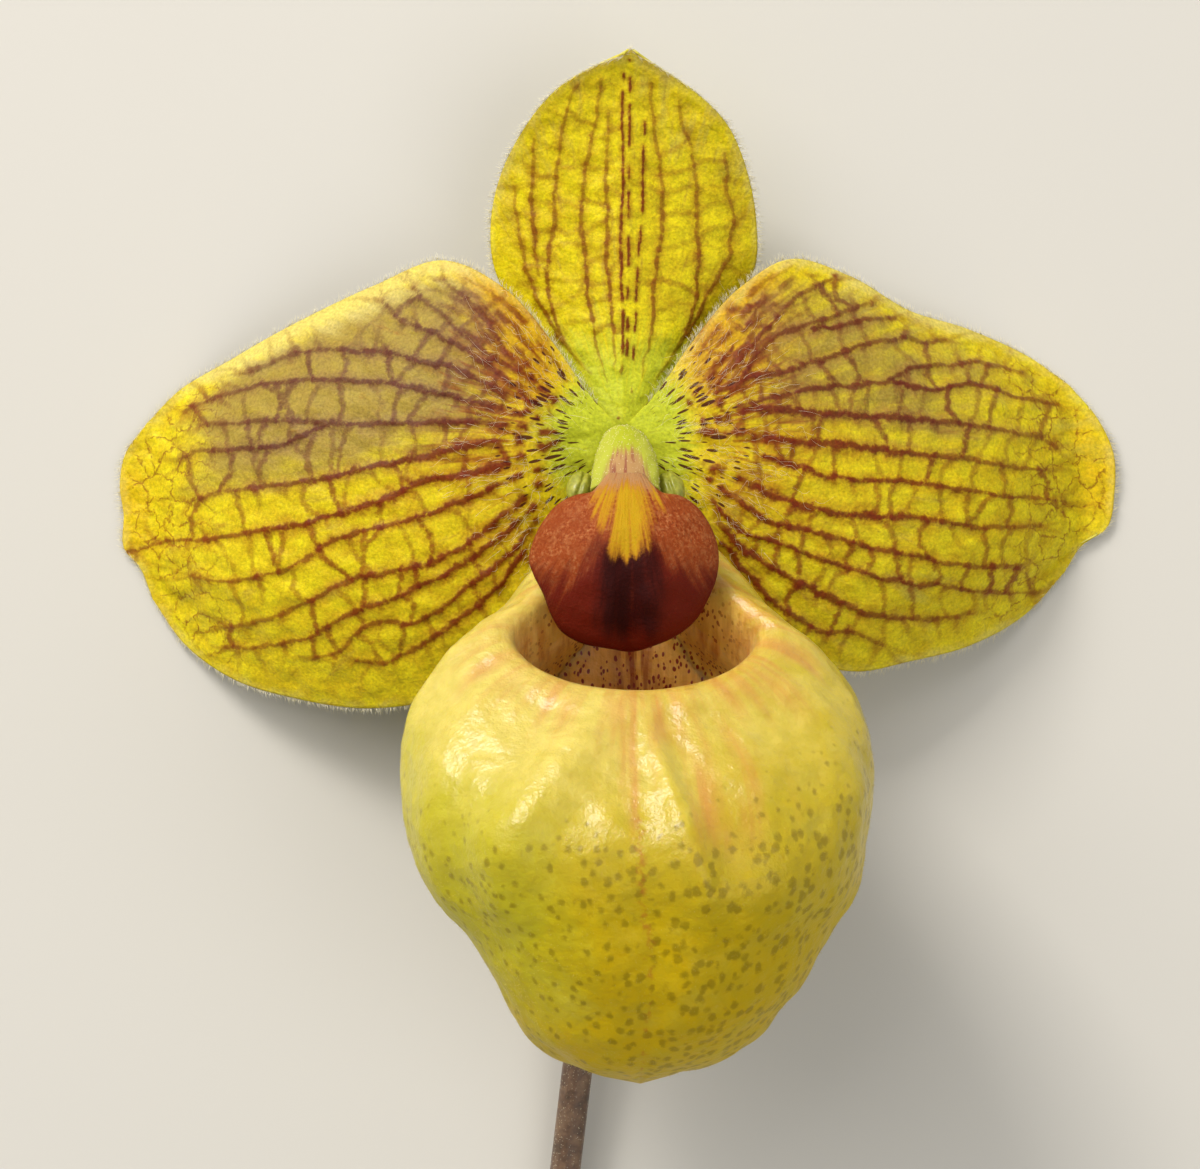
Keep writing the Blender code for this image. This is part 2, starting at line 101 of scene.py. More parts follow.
PETAL_RIB = [(0, -0.7), (0.12, -0.4), (0.3, 0.6), (0.5, -1.1), (0.75, -7.6), (0.92, -16.4), (1, -20.0)]
PETAL_UPPER_BEND = [(0, 0), (0.15, 1.2), (0.32, 3.4), (0.5, 6.0), (0.75, 5.0), (1, -0.8)]
PETAL_LOWER_BEND = [(0, 0), (0.15, 1.6), (0.32, 3.6), (0.5, 5.2), (0.75, 4.4), (1, -0.8)]
PETAL_REST = -16.9
UPPER_SEPAL_RIB = [(0, -2.0), (0.2, -3.4), (0.45, -3.6), (0.7, -2.6), (0.9, -1.0), (1, 0.2)]
UPPER_SEPAL_CUP = [(0, 0), (0.2, -2.2), (0.4, -3.6), (0.6, -2.6), (0.8, 0.2), (1, 0)]
LOWER_SEPAL_RIB = [(0, -2.0), (0.06, -2.3), (0.16, -4.6), (0.3, -6.6), (0.6, -7.8), (1, -9.0)]
LOWER_SEPAL_CUP = [(0, 0), (0.3, 0.8), (0.6, 2.2), (1, 0.4)]

# Each ring's centre y and z, half width, depth to the front and the back, tilt in degrees and sideways shift
POUCH_RINGS = [
    (-21.1, 7.8, 11.8, 10.2, 11.2, 45.0, 1.2),
    (-18.8, 10.2, 11.8, 10.0, 12.0, 45.0, 1.2),
    (-17.2, 12.0, 12.4, 10.5, 14.2, 45.0, 1.2),
    (-16.7, 12.8, 14.2, 12.3, 15.6, 45.0, 1.2),
    (-17.6, 12.4, 16.9, 15.0, 15.8, 43.0, 1.2),
    (-20.6, 11.8, 20.2, 18.2, 16.4, 37.0, 1.3),
    (-25.0, 11.7, 22.6, 19.9, 16.6, 29.0, 1.3),
    (-31.0, 12.0, 23.6, 20.3, 16.5, 20.0, 1.4),
    (-37.6, 12.4, 23.1, 19.6, 16.0, 11.0, 1.6),
    (-43.5, 12.8, 21.4, 18.3, 14.8, 4.0, 1.9),
    (-49.3, 13.4, 17.5, 16.4, 12.8, -2.0, 2.4),
    (-54.0, 13.9, 14.8, 14.2, 10.8, -5.0, 2.5),
    (-58.2, 14.4, 11.8, 11.3, 8.4, -8.0, 2.1),
    (-61.1, 14.8, 7.8, 7.6, 5.6, -10.0, 1.8),
    (-62.6, 15.0, 3.6, 3.6, 2.8, -10.0, 1.7),
]
POUCH_TOE = (1.7, -62.9, 15.0)
MOUTH_RINGS = 4
MOUTH_MIDDLE_X = 1.2
# Soft ridges that run down from the rim, the boldest to the left of the middle. Each has its angle round the
# pouch at the rim, how that drifts on the way down, its width as an angle, and its height.
POUCH_RIDGES = [(-0.06, -0.13, 0.15, 1.7), (-0.01, 0.06, 0.06, 0.9), (-0.8, -0.06, 0.14, 0.8),
                (0.42, 0.03, 0.1, 0.45), (0.95, 0.03, 0.12, 0.5)]
# Pink streaks down the front: angle, width as an angle, where they start and end down the pouch, and strength
POUCH_STREAKS = [(-0.02, 0.09, 1.2, 4.2, 0.55), (0.38, 0.25, 1.4, 4.6, 0.45)]

SHIELD_OUTLINE = [(-1.3, -3.4), (-2.2, -4.6), (-3.0, -5.5), (-4.5, -5.8), (-6.2, -6.6), (-7.8, -8.4),
                  (-8.9, -10.7), (-9.2, -12.2), (-8.8, -13.5), (-7.8, -15.5), (-7.0, -17.6), (-6.0, -19.2),
                  (-4.4, -20.2), (-1.2, -20.9), (0.7, -21.2), (3.0, -20.6), (5.1, -19.7), (7.2, -18.0),
                  (8.3, -16.1), (9.1, -14.2), (9.4, -12.3), (9.2, -10.4), (8.5, -8.7), (7.3, -7.0),
                  (5.6, -5.9), (3.7, -5.5), (2.7, -4.5), (1.7, -3.4)]
SHIELD_MIDDLE = np.array([0.3, -12.4])
SHIELD_HALF_SIZE = (9.2, 8.8)
SHIELD_LIFT, SHIELD_DOME, SHIELD_FOLD = 12.0, 4.6, 1.4  # how far in front it hangs, bulges and is creased
SHIELD_NECK = (0.5, -0.5)  # its colours fan out from here

COLUMN_LINE = [(0.1, -0.6, -0.2), (0.2, -0.7, 1.9), (0.3, -1.5, 4.6), (0.3, -3.2, 7.1), (0.3, -5.4, 8.5)]
STEM_BEND = (-0.3, -25.0, -12.4)
OVARY_LINE = [STEM_BEND, (-0.2, -17.0, -12.1), (-0.1, -9.0, -10.9), (0.0, -3.3, -8.3), (0.0, -0.6, -5.3),
              (0.0, -0.2, -3.9)]
STEM_LENGTH = 110.0
STEM_LEAN = 0.118  # how far it drifts to the left over its length
STEM_LYING = -16.15  # its middle where it lies on the table
STEM_GAP = 0.45  # between its upper end and the ovary
STEM_RADIUS = 1.6
OVARY_RADIUS = 2.15
BRACT_RADIUS, BRACT_FLARE, BRACT_SIDES = 3.2, 1.5, 60
COLUMN_GRID = (60, 96)
TUBE_CAP = (0.97, 0.8, 0.4, 0.02)  # the sizes of the rings that close a tube's end

# The lengthwise veins, as the camera sees them, from the upper margin to the lower one
LEFT_VEINS = [
    [(-6.9, 4.1), (-11.5, 8.6), (-13.9, 12.2), (-16.9, 15.3), (-18.1, 16.3)],
    [(-7.2, 4.7), (-12.4, 8), (-16, 10.7), (-18.4, 12.8), (-21.2, 15.3)],
    [(-8.1, 3.1), (-12.7, 6.8), (-16, 9.2), (-20.2, 11.3), (-22.7, 12.5), (-24.2, 13.8)],
    [(-9.3, 2.8), (-13.9, 5.6), (-17.5, 7.4), (-20.2, 8), (-22.4, 8.6), (-25.4, 8.9), (-28.7, 9.1),
     (-32.4, 8.8), (-34.8, 8), (-38.4, 6.8)],
    [(-8.7, 2.2), (-13, 3.4), (-18.4, 4.7), (-22.7, 5.6), (-26.9, 6), (-31.8, 6), (-36, 5.6), (-39.6, 4.8),
     (-43, 3.4), (-44.2, 2.8)],
    [(-9.3, 1.3), (-15.4, 1.8), (-21.5, 1.7), (-27.5, 1.6), (-32.1, 1.9), (-36.6, 1.9), (-39.9, 1.6),
     (-42.7, 1.6)],
    [(-29.9, 1.5), (-33, 0.1), (-36, -0.8), (-39, -0.9), (-42.1, -1.1), (-44.5, -2)],
    [(-6.3, 1), (-10.8, 0.1), (-15.4, -0.6), (-19.9, -1.7), (-24.5, -2.6), (-28.7, -3.5), (-33.6, -4.4),
     (-38.1, -4.9), (-41.1, -5.3), (-43.6, -6.2)],
    [(-6.9, -0.2), (-14.5, -3.2), (-19.9, -4.1), (-24.5, -6.2), (-28.7, -7.5), (-33.6, -8.7), (-38.1, -9.4),
     (-41.8, -10), (-45.7, -10.3), (-49.9, -11.2)],
    [(-7.2, -2.6), (-12.4, -4.4), (-16.9, -6.5), (-21.5, -8.1), (-26, -9.1), (-29.9, -10.6), (-32.4, -12.3),
     (-34.2, -13.2), (-36.6, -13.7), (-39.6, -14.3), (-43.3, -13.7)],
    [(-8.4, -4.4), (-14.5, -9.6), (-19.6, -12.5), (-24.5, -13.5), (-28.7, -14.7), (-31.8, -16.4),
     (-36, -18.1), (-40.2, -19)],
    [(-8.7, -6.5), (-12.4, -9.9), (-16.9, -12.9), (-21.5, -15.3), (-24.5, -16.5), (-28.1, -17.9),
     (-32.1, -20.2), (-36, -20.8), (-39.9, -20.9)],
    [(-8.7, -8.1), (-11.5, -11.7), (-15.4, -14.7), (-19.9, -18.1), (-26.3, -19), (-28.7, -21.4),
     (-31.1, -22)],
    [(-9.9, -11.1), (-12.7, -15), (-16, -17.8), (-18.4, -19.6), (-21.5, -21.4), (-24.5, -22.6),
     (-26.9, -22.3)],
]
RIGHT_VEINS = [
    [(6.8, 3.8), (10.7, 8.8), (12.7, 11.5), (14.2, 14.2)],
    [(7.7, 4.4), (10.7, 6.8), (13.9, 10.6), (16.3, 13), (19.3, 15.4), (21.6, 16.5)],
    [(8.3, 4.1), (12.1, 6.5), (15.1, 10.3), (19.3, 11.8), (22.8, 13), (25.2, 13.9)],
    [(19.3, 11.2), (21.6, 11.3), (24.6, 12.2), (27.6, 12.2)],
    [(9.8, 3.5), (12.7, 6.2), (16.3, 6.8), (19.9, 8.1), (22.8, 9), (25.8, 9.9), (28.2, 10.3), (30.5, 10),
     (32.6, 9.9)],
    [(9.8, 2.9), (13.6, 3.8), (17.2, 4.7), (20.4, 5.3), (24, 5.6), (27, 6), (29.3, 7.2), (32.3, 7.5),
     (35, 7.8), (37.9, 7.5), (40.3, 6.8)],
    [(27, 6), (28.7, 5.6), (30.5, 5), (33.5, 5.4), (35.9, 5.6), (37.9, 5.1), (40, 4.4), (42.1, 3.9),
     (43.9, 3.6)],
    [(8.3, 1.7), (14.2, 3.2), (19.3, 2.7), (22.8, 2.5), (26.4, 2.3), (29.9, 2), (33.5, 1.7), (36.5, 1.3),
     (39.4, 0.7), (41.8, 0.4), (43.6, -0.7)],
    [(8, 0.8), (12.7, 0.5), (17.5, -0.1), (22.2, -0.5), (27, -1), (31.1, -1.6), (35.3, -2), (39.4, -2.7),
     (43, -3)],
    [(14.2, -1.6), (17.8, -2.7), (20.4, -3.6), (24.6, -4.1), (28.2, -4.1), (31.1, -4.5), (35, -5.1),
     (39.4, -5.7), (43, -6), (44.8, -6.3)],
    [(8.3, -2.4), (11.6, -3.9), (15.1, -5.4), (18.1, -6.6), (21.3, -7.3), (25.2, -7.8), (29, -7.8),
     (32.3, -8.2), (35.9, -8.8), (39.4, -8.8), (42.4, -8.7)],
    [(8.6, -3.9), (12.1, -6.3), (15.1, -8.4), (18.7, -9), (22.2, -10.1), (25.8, -11), (29.3, -11.6),
     (33.5, -12.5), (37.1, -12.8), (40.3, -13), (41.2, -14.9)],
    [(9.2, -6.3), (12.1, -9.3), (15.7, -10.4), (18.1, -11.3), (21.6, -12.5), (25.2, -13.7), (29, -14.4),
     (32.3, -14.7), (35.9, -15.2), (39.4, -15.5), (42.1, -15.3)],
    [(9.8, -8.4), (12.7, -11.3), (15.7, -13.1), (18.7, -14.9), (21.6, -16.2), (25.2, -17.6), (29, -18),
     (32.9, -17.9), (35.3, -17.6)],
    [(10.1, -10.4), (12.4, -13.1), (14.2, -15.2), (18.1, -18.2), (21.3, -19.5), (23.4, -19.3),
     (25.2, -20.2), (26.4, -20.8)],
    [(9.8, -12.2), (11.6, -14.3), (12.7, -15.8)],
]
# Dark broken lines beside the sepal's middle, how much of each is broken away, and softer lines at its sides
SEPAL_DARK_VEINS = [
    [(-0.4, 2.2), (-0.2, 5), (0.1, 11.3), (-0.1, 17.3), (-0.1, 22.1), (0.1, 26), (0.1, 29.8), (0, 32.7),
     (0.1, 35.6), (0.2, 37)],
    [(0.5, 8), (0.6, 17.3), (0.7, 24), (0.7, 27.9), (0.8, 33.7), (0.8, 38.4)],
    [(0.9, 3.4), (1.1, 7), (1.3, 11.3), (1.4, 14), (1.6, 17.1), (1.8, 20.2), (2, 22.4), (2.1, 27.1),
     (2.2, 29.8), (2.3, 32.2)],
    [(-1.8, 3.8), (-1.7, 6), (-1.8, 9)],
]
SEPAL_DARK_GAPS = (-0.8, -0.2, -0.35, -0.2)
SEPAL_VEINS = [
    [(-3.6, 7.2), (-6.4, 10.5), (-8, 13.4), (-9.9, 18.2), (-10.5, 22.1), (-10.9, 25.6)],
    [(-8.4, 16.4), (-8.9, 20.8), (-9.1, 25), (-8.9, 28.3), (-8.9, 30.6)],
    [(-3.1, 6.6), (-5, 8.8), (-6.6, 11.7), (-7.6, 17.3), (-7, 21.1), (-6.7, 25), (-6.4, 28.9), (-5.8, 32.2),
     (-5.1, 34.7), (-4.5, 35.8)],
    [(-1.6, 6), (-2.9, 11.3), (-3.5, 15.3), (-3.8, 19.2), (-4.2, 22.1), (-3.8, 26), (-3.4, 28.9),
     (-2.9, 31.4), (-2.4, 34.1), (-2, 36.4)],
    [(-0.7, 7), (-1, 12.4), (-1.6, 19.2), (-1.5, 21.1), (-1.6, 27), (-1.3, 33)],
    [(2, 6.4), (3.1, 11.7), (3.3, 16.7), (3.9, 20.6), (4.1, 24), (3.9, 27.9), (3.3, 30.8), (3, 33.7),
     (2.9, 36)],
    [(3.4, 6.4), (5.2, 8.8), (6.7, 11.7), (7.7, 17.3), (7.7, 21.1), (7.5, 25), (7.1, 28.9), (6.1, 31.8),
     (5.8, 34.1)],
    [(4.4, 7.4), (6.6, 10.8), (8.5, 14.4), (10.6, 18.2), (11.2, 22.1), (10.6, 26), (10.4, 29.1)],
]
LOWER_SEPAL_VEINS = [[(k * 0.35, -4), (k * 1.5, -14), (k * 2.1, -26), (k * 1.9, -38), (k * 0.9, -46)]
                     for k in range(-5, 6)]

# The blades' fringes: the node, its slot, the first row with hairs, and how many hairs stand on a millimetre
FRINGES = [("petal_left", "petal", 10, 11), ("petal_right", "petal", 10, 11), ("sepal_upper", "sepal", 8, 16),
           ("sepal_lower", "sepal", 8, 8)]
ZONES = ("lime", "olive", "orange", "tip", "pale", "flush", "net", "spots")  # the colour zones of a blade

# Each light's place and size in metres, the setting that holds its power, and its tint
LIGHT_AIM = (0, 0.04, 0.015)
LIGHTS = {
    "window": ((-0.62, 0.70, 0.98), 1.2, "key", "#fffaf2"),
    "top": ((-0.54, 0.93, 0.70), 0.4, "top", "#fffaf2"),
    "fill": ((0.70, -0.24, 1.18), 1.0, "fill", "#fbfaf6"),
}
TABLE_HALF_SIZE = 3.0

SKINS = {}  # the rows of the finished skins, for the hairs that grow on them


def linear(colour):
    """The linear light values of an sRGB colour written as #rrggbb."""
    parts = [int(colour[i:i + 2], 16) / 255 for i in (1, 3, 5)]
    return tuple(c / 12.92 if c <= 0.04045 else ((c + 0.055) / 1.055) ** 2.4 for c in parts)


def colour_property(name, description, colour):
    return FloatVectorProperty(name=name, description=description, subtype="COLOR", size=3, min=0, max=1,
                               default=linear(colour))


def length_property(name, description, size_mm, low_mm, high_mm):
    return FloatProperty(name=name, description=description, subtype="DISTANCE", unit="LENGTH",
                         default=size_mm * MM, min=low_mm * MM, max=high_mm * MM, precision=5)


class ORCHID_PG_blades(bpy.types.PropertyGroup):
    petal_yellow: colour_property("Petal yellow", "Clean ground colour of the petals", "#dac814")
    sepal_yellow: colour_property("Sepal yellow", "Clean ground colour of the upper sepal", "#dccb10")
    lime: colour_property("Lime centre", "Green where the blades meet", "#b6be2a")
    olive: colour_property("Olive flush", "Greyish flush over the petals' upper halves", "#967e3c")
    orange: colour_property("Orange flush", "Flush along the petals' upper margins near the base", "#c2880e")
    # The pale zone is cream pigment along the upper margins with a painted sheen, and a thin painted rim
    # light along every margin
    pale: colour_property("Pale margin", "Cream along the petals' upper margins", "#d6c878")
    tip: colour_property("Tip yellow", "Deep yellow at the petals' ends", "#dab408")
    vein: colour_property("Vein maroon", "Colour of the netted veins", "#6e1c00")
    back: colour_property("Back", "Colour of the blades' backs", "#c9c45a")
    thickness: length_property("Thickness", "Thickness at the middle of a blade", 0.8, 0.3, 0.8)
    margin: length_property("Margin thickness", "Thickness at the margin of a blade", 0.28, 0.1, 0.8)
    relief: length_property("Vein relief", "Height of the lengthwise veins", 0.12, 0.0, 0.3)


class ORCHID_PG_pouch(bpy.types.PropertyGroup):
    wax: colour_property("Wax yellow", "Ground colour of the pouch", "#bca612")
    # A pale colour for the upper part, partly a painted highlight that is strongest on the upper left
    cream: colour_property("Cream", "Pale upper part and shoulders", "#d6c262")
    gold: colour_property("Gold", "Deep colour round the toe", "#c0a004")
    green: colour_property("Green flush", "Flush on its left side", "#b8b220")
    speckle: colour_property("Speckles", "Small spots on its lower half", "#786404")
    # The inside colour is painted lighter than the tissue, as painted light for what comes in through the
    # wall
    inside: colour_property("Inside", "Wall inside the mouth", "#fccb74")
    wall: length_property("Wall", "Thickness of the pouch's wall", 0.9, 0.3, 0.9)


class ORCHID_PG_shield(bpy.types.PropertyGroup):
    brick: colour_property("Brick red", "Granular sides of the shield", "#8a3c14")
    dark: colour_property("Dark maroon", "Lower centre of the shield", "#2a0302")
    splash: colour_property("Yellow splash", "Splash below the neck of the shield", "#b8920e")


class ORCHID_PG_hairs(bpy.types.PropertyGroup):
    fringe: length_property("Fringe", "Length of the hairs on the margins", 1.0, 0.2, 2.0)
    base: length_property("Base hairs", "Length of the wavy hairs near the petals' bases", 2.4, 0.5, 4.0)
    stem: length_property("Stem hairs", "Length of the hairs on stem and ovary", 0.8, 0.2, 2.0)
    down: length_property("Pouch down", "Length of the down on the pouch", 0.35, 0.1, 0.8)
    radius: length_property("Radius", "Radius of a hair at its root", 0.034, 0.01, 0.1)
    colour: colour_property("Hair", "Colour of the hairs", "#f8f2d8")


class ORCHID_PG_stage(bpy.types.PropertyGroup):
    floor: colour_property("Floor", "Colour of the table top", "#cfccc6")
    world: colour_property("Surroundings", "Colour of the light from all round", "#f4f4f2")
    key: FloatProperty(name="Key light", description="Power of the soft window light", unit="POWER",
                       default=9.0, min=0)
    top: FloatProperty(name="Top light", description="Power of the low light from beyond the flower's top",
                       unit="POWER", default=12.0, min=0)
    fill: FloatProperty(name="Fill light", description="Power of the fill light", unit="POWER", default=5.2,
                        min=0)
    around: FloatProperty(name="Light around", description="Strength of the light from all round",
                          default=0.43, min=0)


def to_world(points):
    return (np.asarray(points, float) + CENTRE) * MM


def as_seen(points):
    """Where the camera sees points of the flower, as x and y on the petals' plane."""
    spread = CAMERA_DISTANCE / (CAMERA_DISTANCE - points[..., 2:3])
    return CAMERA_AXIS + (points[..., :2] - CAMERA_AXIS) * spread


def scale_of(size_mm):
    """The scale of a pattern whose features have this size in millimetres."""
    return 1 / (size_mm * MM)


def smooth(knots, values, places):
    """A smooth curve through the values at their knots, read at the places asked for."""
    knots = np.asarray(knots, float)
    values = np.asarray(values, float)
    places = np.clip(np.asarray(places, float), knots[0], knots[-1])
    step = np.diff(knots).reshape((-1,) + (1,) * (values.ndim - 1))
    slope = np.diff(values, axis=0) / step
    inner = (step[:-1] * slope[1:] + step[1:] * slope[:-1]) / (step[:-1] + step[1:])
    tangent = np.concatenate([slope[:1], inner, slope[-1:]])
    i = np.clip(np.searchsorted(knots, places, side="right") - 1, 0, len(knots) - 2)
    width = step[i]
    x = (places - knots[i]).reshape(places.shape + (1,) * (values.ndim - 1)) / width
    start = values[i] * (1 + 2 * x) * (1 - x) ** 2 + width * tangent[i] * x * (1 - x) ** 2
    end = values[i + 1] * x**2 * (3 - 2 * x) + width * tangent[i + 1] * x**2 * (x - 1)
    return start + end


def curve_through(points, count):
    points = np.asarray(points, float)
    steps = np.linalg.norm(np.diff(points, axis=0), axis=1)
    length = np.concatenate([[0.0], np.cumsum(steps)])
    return smooth(length, points, np.linspace(0, length[-1], count))


def profile(pairs, places):
    knots, values = zip(*pairs)
    return smooth(knots, values, places)


def ease(values, start, end):
    """0 before start, 1 after end and a soft step between them; end may lie below start."""
    x = np.clip((np.asarray(values, float) - start) / (end - start), 0, 1)
    return x * x * (3 - 2 * x)


def ripple(points, size, seed, count=16):
    """A soft random field from about -1 to 1 with bumps of the given size, the same on each run."""
    rng = np.random.default_rng(seed)
    waves = rng.normal(size=(count, points.shape[-1]))
    waves *= (math.pi / size * rng.uniform(0.7, 1.4, count) / np.linalg.norm(waves, axis=1))[:, None]
    return np.sin(points @ waves.T + rng.uniform(0, 2 * math.pi, count)).sum(-1) / math.sqrt(2 * count)


def unit(vectors):
    return vectors / np.maximum(np.linalg.norm(vectors, axis=-1, keepdims=True), 1e-9)


def sheet_normals(rows, wrap=False):
    along = np.gradient(rows, axis=0)
    across = (np.roll(rows, -1, 1) - np.roll(rows, 1, 1)) / 2 if wrap else np.gradient(rows, axis=1)
    return unit(np.cross(along, across))


def grid_faces(count, width, offset, wrap, flip):
    i, j = np.meshgrid(np.arange(count - 1), np.arange(width if wrap else width - 1), indexing="ij")
    k = (j + 1) % width
    corners = [i * width + j, (i + 1) * width + j, (i + 1) * width + k, i * width + k]
    faces = np.stack(corners, -1).reshape(-1, 4)
    return (faces[:, ::-1] if flip else faces) + offset


def piece(name, points, faces, material, node=None, slot=None, **fields):
    """A smooth mesh object with its fields on its points, which stands for a CAD node; its slot is not used.
    """
    mesh = bpy.data.meshes.new(name)
    mesh.from_pydata(to_world(points).tolist(), [], faces)
    for key, values in fields.items():
        field = mesh.attributes.new(key, "FLOAT", "POINT")
        field.data.foreach_set("value", np.asarray(values, np.float32).ravel())
    mesh.materials.append(material)
    mesh.shade_smooth()
    mesh.validate()
    obj = bpy.data.objects.new(name, mesh)
    bpy.context.scene.collection.objects.link(obj)
    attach(obj, "root")
    if node:
        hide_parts(node)
    return obj


def two_sided(name, front, thickness, material, node, slot, wrap=False, pole=None, floor=False, **fields):
    """A closed skin: the front rows, a back behind them by the thickness, and the margin between."""
    count, width = front.shape[:2]
    normal = sheet_normals(front, wrap)
    back = front - normal * np.asarray(thickness)[..., None]
    if floor:
        lowest = -CENTRE[2]
        back[..., 2] = np.maximum(back[..., 2], lowest)
        front[..., 2] = np.maximum(front[..., 2], lowest + 0.05)
    size = count * width
    points = [front.reshape(-1, 3), back.reshape(-1, 3)]
    faces = [grid_faces(count, width, 0, wrap, False), grid_faces(count, width, size, wrap, True)]
    if wrap:
        rim = np.arange(width)
    else:
        rim = np.concatenate([np.arange(width), np.arange(1, count) * width + width - 1,
                              (count - 1) * width + np.arange(width - 2, -1, -1),
                              np.arange(count - 2, 0, -1) * width])
    after = np.roll(rim, -1)
    faces.append(np.stack([rim, after, after + size, rim + size], -1))
    faces = [face for group in faces for face in group.tolist()]
    values = {key: np.concatenate([field.ravel(), field.ravel()]) for key, field in fields.items()}
    values["behind"] = np.repeat([0.0, 1.0], size)
    if pole is not None:
        pole = np.array(pole, float)
        depth = np.mean(np.asarray(thickness)[-1])
        inward = unit(normal[-1].mean(0))
        points += [pole[None], (pole - inward * depth)[None]]
        last = (count - 1) * width + np.arange(width)
        after = np.roll(last, -1)
        faces += [(a, 2 * size, b) for a, b in zip(last.tolist(), after.tolist())]
        faces += [(b + size, 2 * size + 1, a + size) for a, b in zip(last.tolist(), after.tolist())]
        for key, field in fields.items():
            middle = field.reshape(count, width)[-1].mean()
            values[key] = np.append(values[key], [middle, middle])
        values["behind"] = np.append(values["behind"], [0.0, 1.0])
    return piece(name, np.concatenate(points), faces, material, node, slot, **values)


def hair_coat(name, roots, directions, lengths, radius, material, slot, curl=0.0, joints=2, seed=1):
    """Tapered three-sided hairs that start just under the skin and bend as they grow."""
    rng = np.random.default_rng(seed)
    count = len(roots)
    directions = unit(directions + rng.normal(0, 0.22, (count, 3)))
    sideways = unit(np.cross(directions, rng.normal(size=(count, 3))))
    third = np.cross(directions, sideways)
    lengths = lengths * rng.uniform(0.55, 1.15, count)
    bend = curl * lengths * rng.normal(0, 1, count)
    twist = curl * lengths * 0.5 * rng.normal(0, 1, count)
    rings = []
    for share in np.linspace(0, 1, joints + 1):
        middle = (roots - directions * 0.06 + directions * (lengths * share)[:, None]
                  + sideways * (bend * share**2)[:, None]
                  + third * (twist * np.sin(share * 5.0))[:, None])
        if share == 1:
            rings.append(middle[:, None])
            continue
        size = radius * (1 - 0.75 * share)
        turn = np.array([0, 2, 4]) * math.pi / 3
        rings.append(middle[:, None] + size * (np.cos(turn)[None, :, None] * sideways[:, None]
                                               + np.sin(turn)[None, :, None] * third[:, None]))
    points = np.concatenate(rings, axis=1)
    points[..., 2] = np.maximum(points[..., 2], 0.01 - CENTRE[2])
    each = points.shape[1]
    pattern = [(2, 1, 0)]
    for ring in range(joints - 1):
        for j in range(3):
            k = (j + 1) % 3
            pattern += [(3 * ring + j, 3 * ring + k, 3 * ring + 3 + k),
                        (3 * ring + j, 3 * ring + 3 + k, 3 * ring + 3 + j)]
    for j in range(3):
        pattern.append((3 * (joints - 1) + j, 3 * (joints - 1) + (j + 1) % 3, each - 1))
    faces = (np.array(pattern)[None] + each * np.arange(count)[:, None, None]).reshape(-1, 3)
    return piece(name, points.reshape(-1, 3), faces.tolist(), material, slot=slot)


def blade_plan(outline, along, across):
    """The outline filled with lines from base to tip, with s along them and v from margin to margin."""
    upper = curve_through(outline["upper"], along + 1)[:, None]
    lower = curve_through(outline["lower"], along + 1)[:, None]
    tip = curve_through(outline["tip"], across + 1)[None, :]
    s = np.linspace(0, 1, along + 1)[:, None, None]
    t = np.linspace(0, 1, across + 1)[None, :, None]
    base = upper[0] * (1 - t) + lower[0] * t
    corners = (1 - s) * base + s * (upper[-1] * (1 - t) + lower[-1] * t)
    plan = (1 - t) * upper + t * lower + (1 - s) * base + s * tip - corners
    size = plan.shape[:2]
    return plan, np.broadcast_to(s[..., 0], size), np.broadcast_to(2 * t[..., 0] - 1, size)


def petal_height(s, v, wave_phase):
    bend = np.where(v < 0, profile(PETAL_UPPER_BEND, s), profile(PETAL_LOWER_BEND, s)) * np.abs(v) ** 2.1
    wave = 0.5 * s**2 * v**2 * np.sin(17 * s + 5 * v + wave_phase)
    above = profile(PETAL_RIB, s) - bend + wave - PETAL_REST
    return PETAL_REST + 0.5 * (above + np.sqrt(above**2 + 0.8))


def upper_sepal_height(s, v):
    keel = 0.45 * np.exp(-((v / 0.12) ** 2)) * np.sin(math.pi * s)
    return profile(UPPER_SEPAL_RIB, s) + profile(UPPER_SEPAL_CUP, s) * v**2 + keel


def lower_sepal_height(s, v):
    groove = 0.5 * np.exp(-((v / 0.15) ** 2)) * np.sin(math.pi * s)
    return profile(LOWER_SEPAL_RIB, s) + profile(LOWER_SEPAL_CUP, s) * v**2 - groove


def nearest_line(places, lines):
    """How many half widths each place is from the nearest line, and how strong that line is there."""
    best = np.full(len(places), 99.0)
    strength = np.zeros(len(places))
    for points, half, ink in lines:
        for i in range(len(points) - 1):
            start, step = points[i], points[i + 1] - points[i]
            share = np.clip((places - start) @ step / max(step @ step, 1e-9), 0, 1)
            apart = np.hypot(*(places - start - share[:, None] * step).T)
            apart = apart / (half[i] + (half[i + 1] - half[i]) * share)
            closer = apart < best
            best[closer] = apart[closer]
            strength[closer] = (ink[i] + (ink[i + 1] - ink[i]) * share)[closer]
    return best, strength


def vein_line(points, half, ink, rng, wobble=0.13, step=0.4):
    """A vein that wanders a little, as its places, half widths and strengths."""
    length = np.linalg.norm(np.diff(points, axis=0), axis=1).sum()
    line = curve_through(points, max(4, int(length / step)))
    for size, share in ((1.7, 1.0), (0.7, 0.55)):
        shift = [ripple(line, size, rng.integers(1e6)), ripple(line, size, rng.integers(1e6))]
        line = line + share * wobble * np.stack(shift, -1)
    share = np.linspace(0, 1, len(line))
    return line, np.interp(share, *half), np.interp(share, *ink)


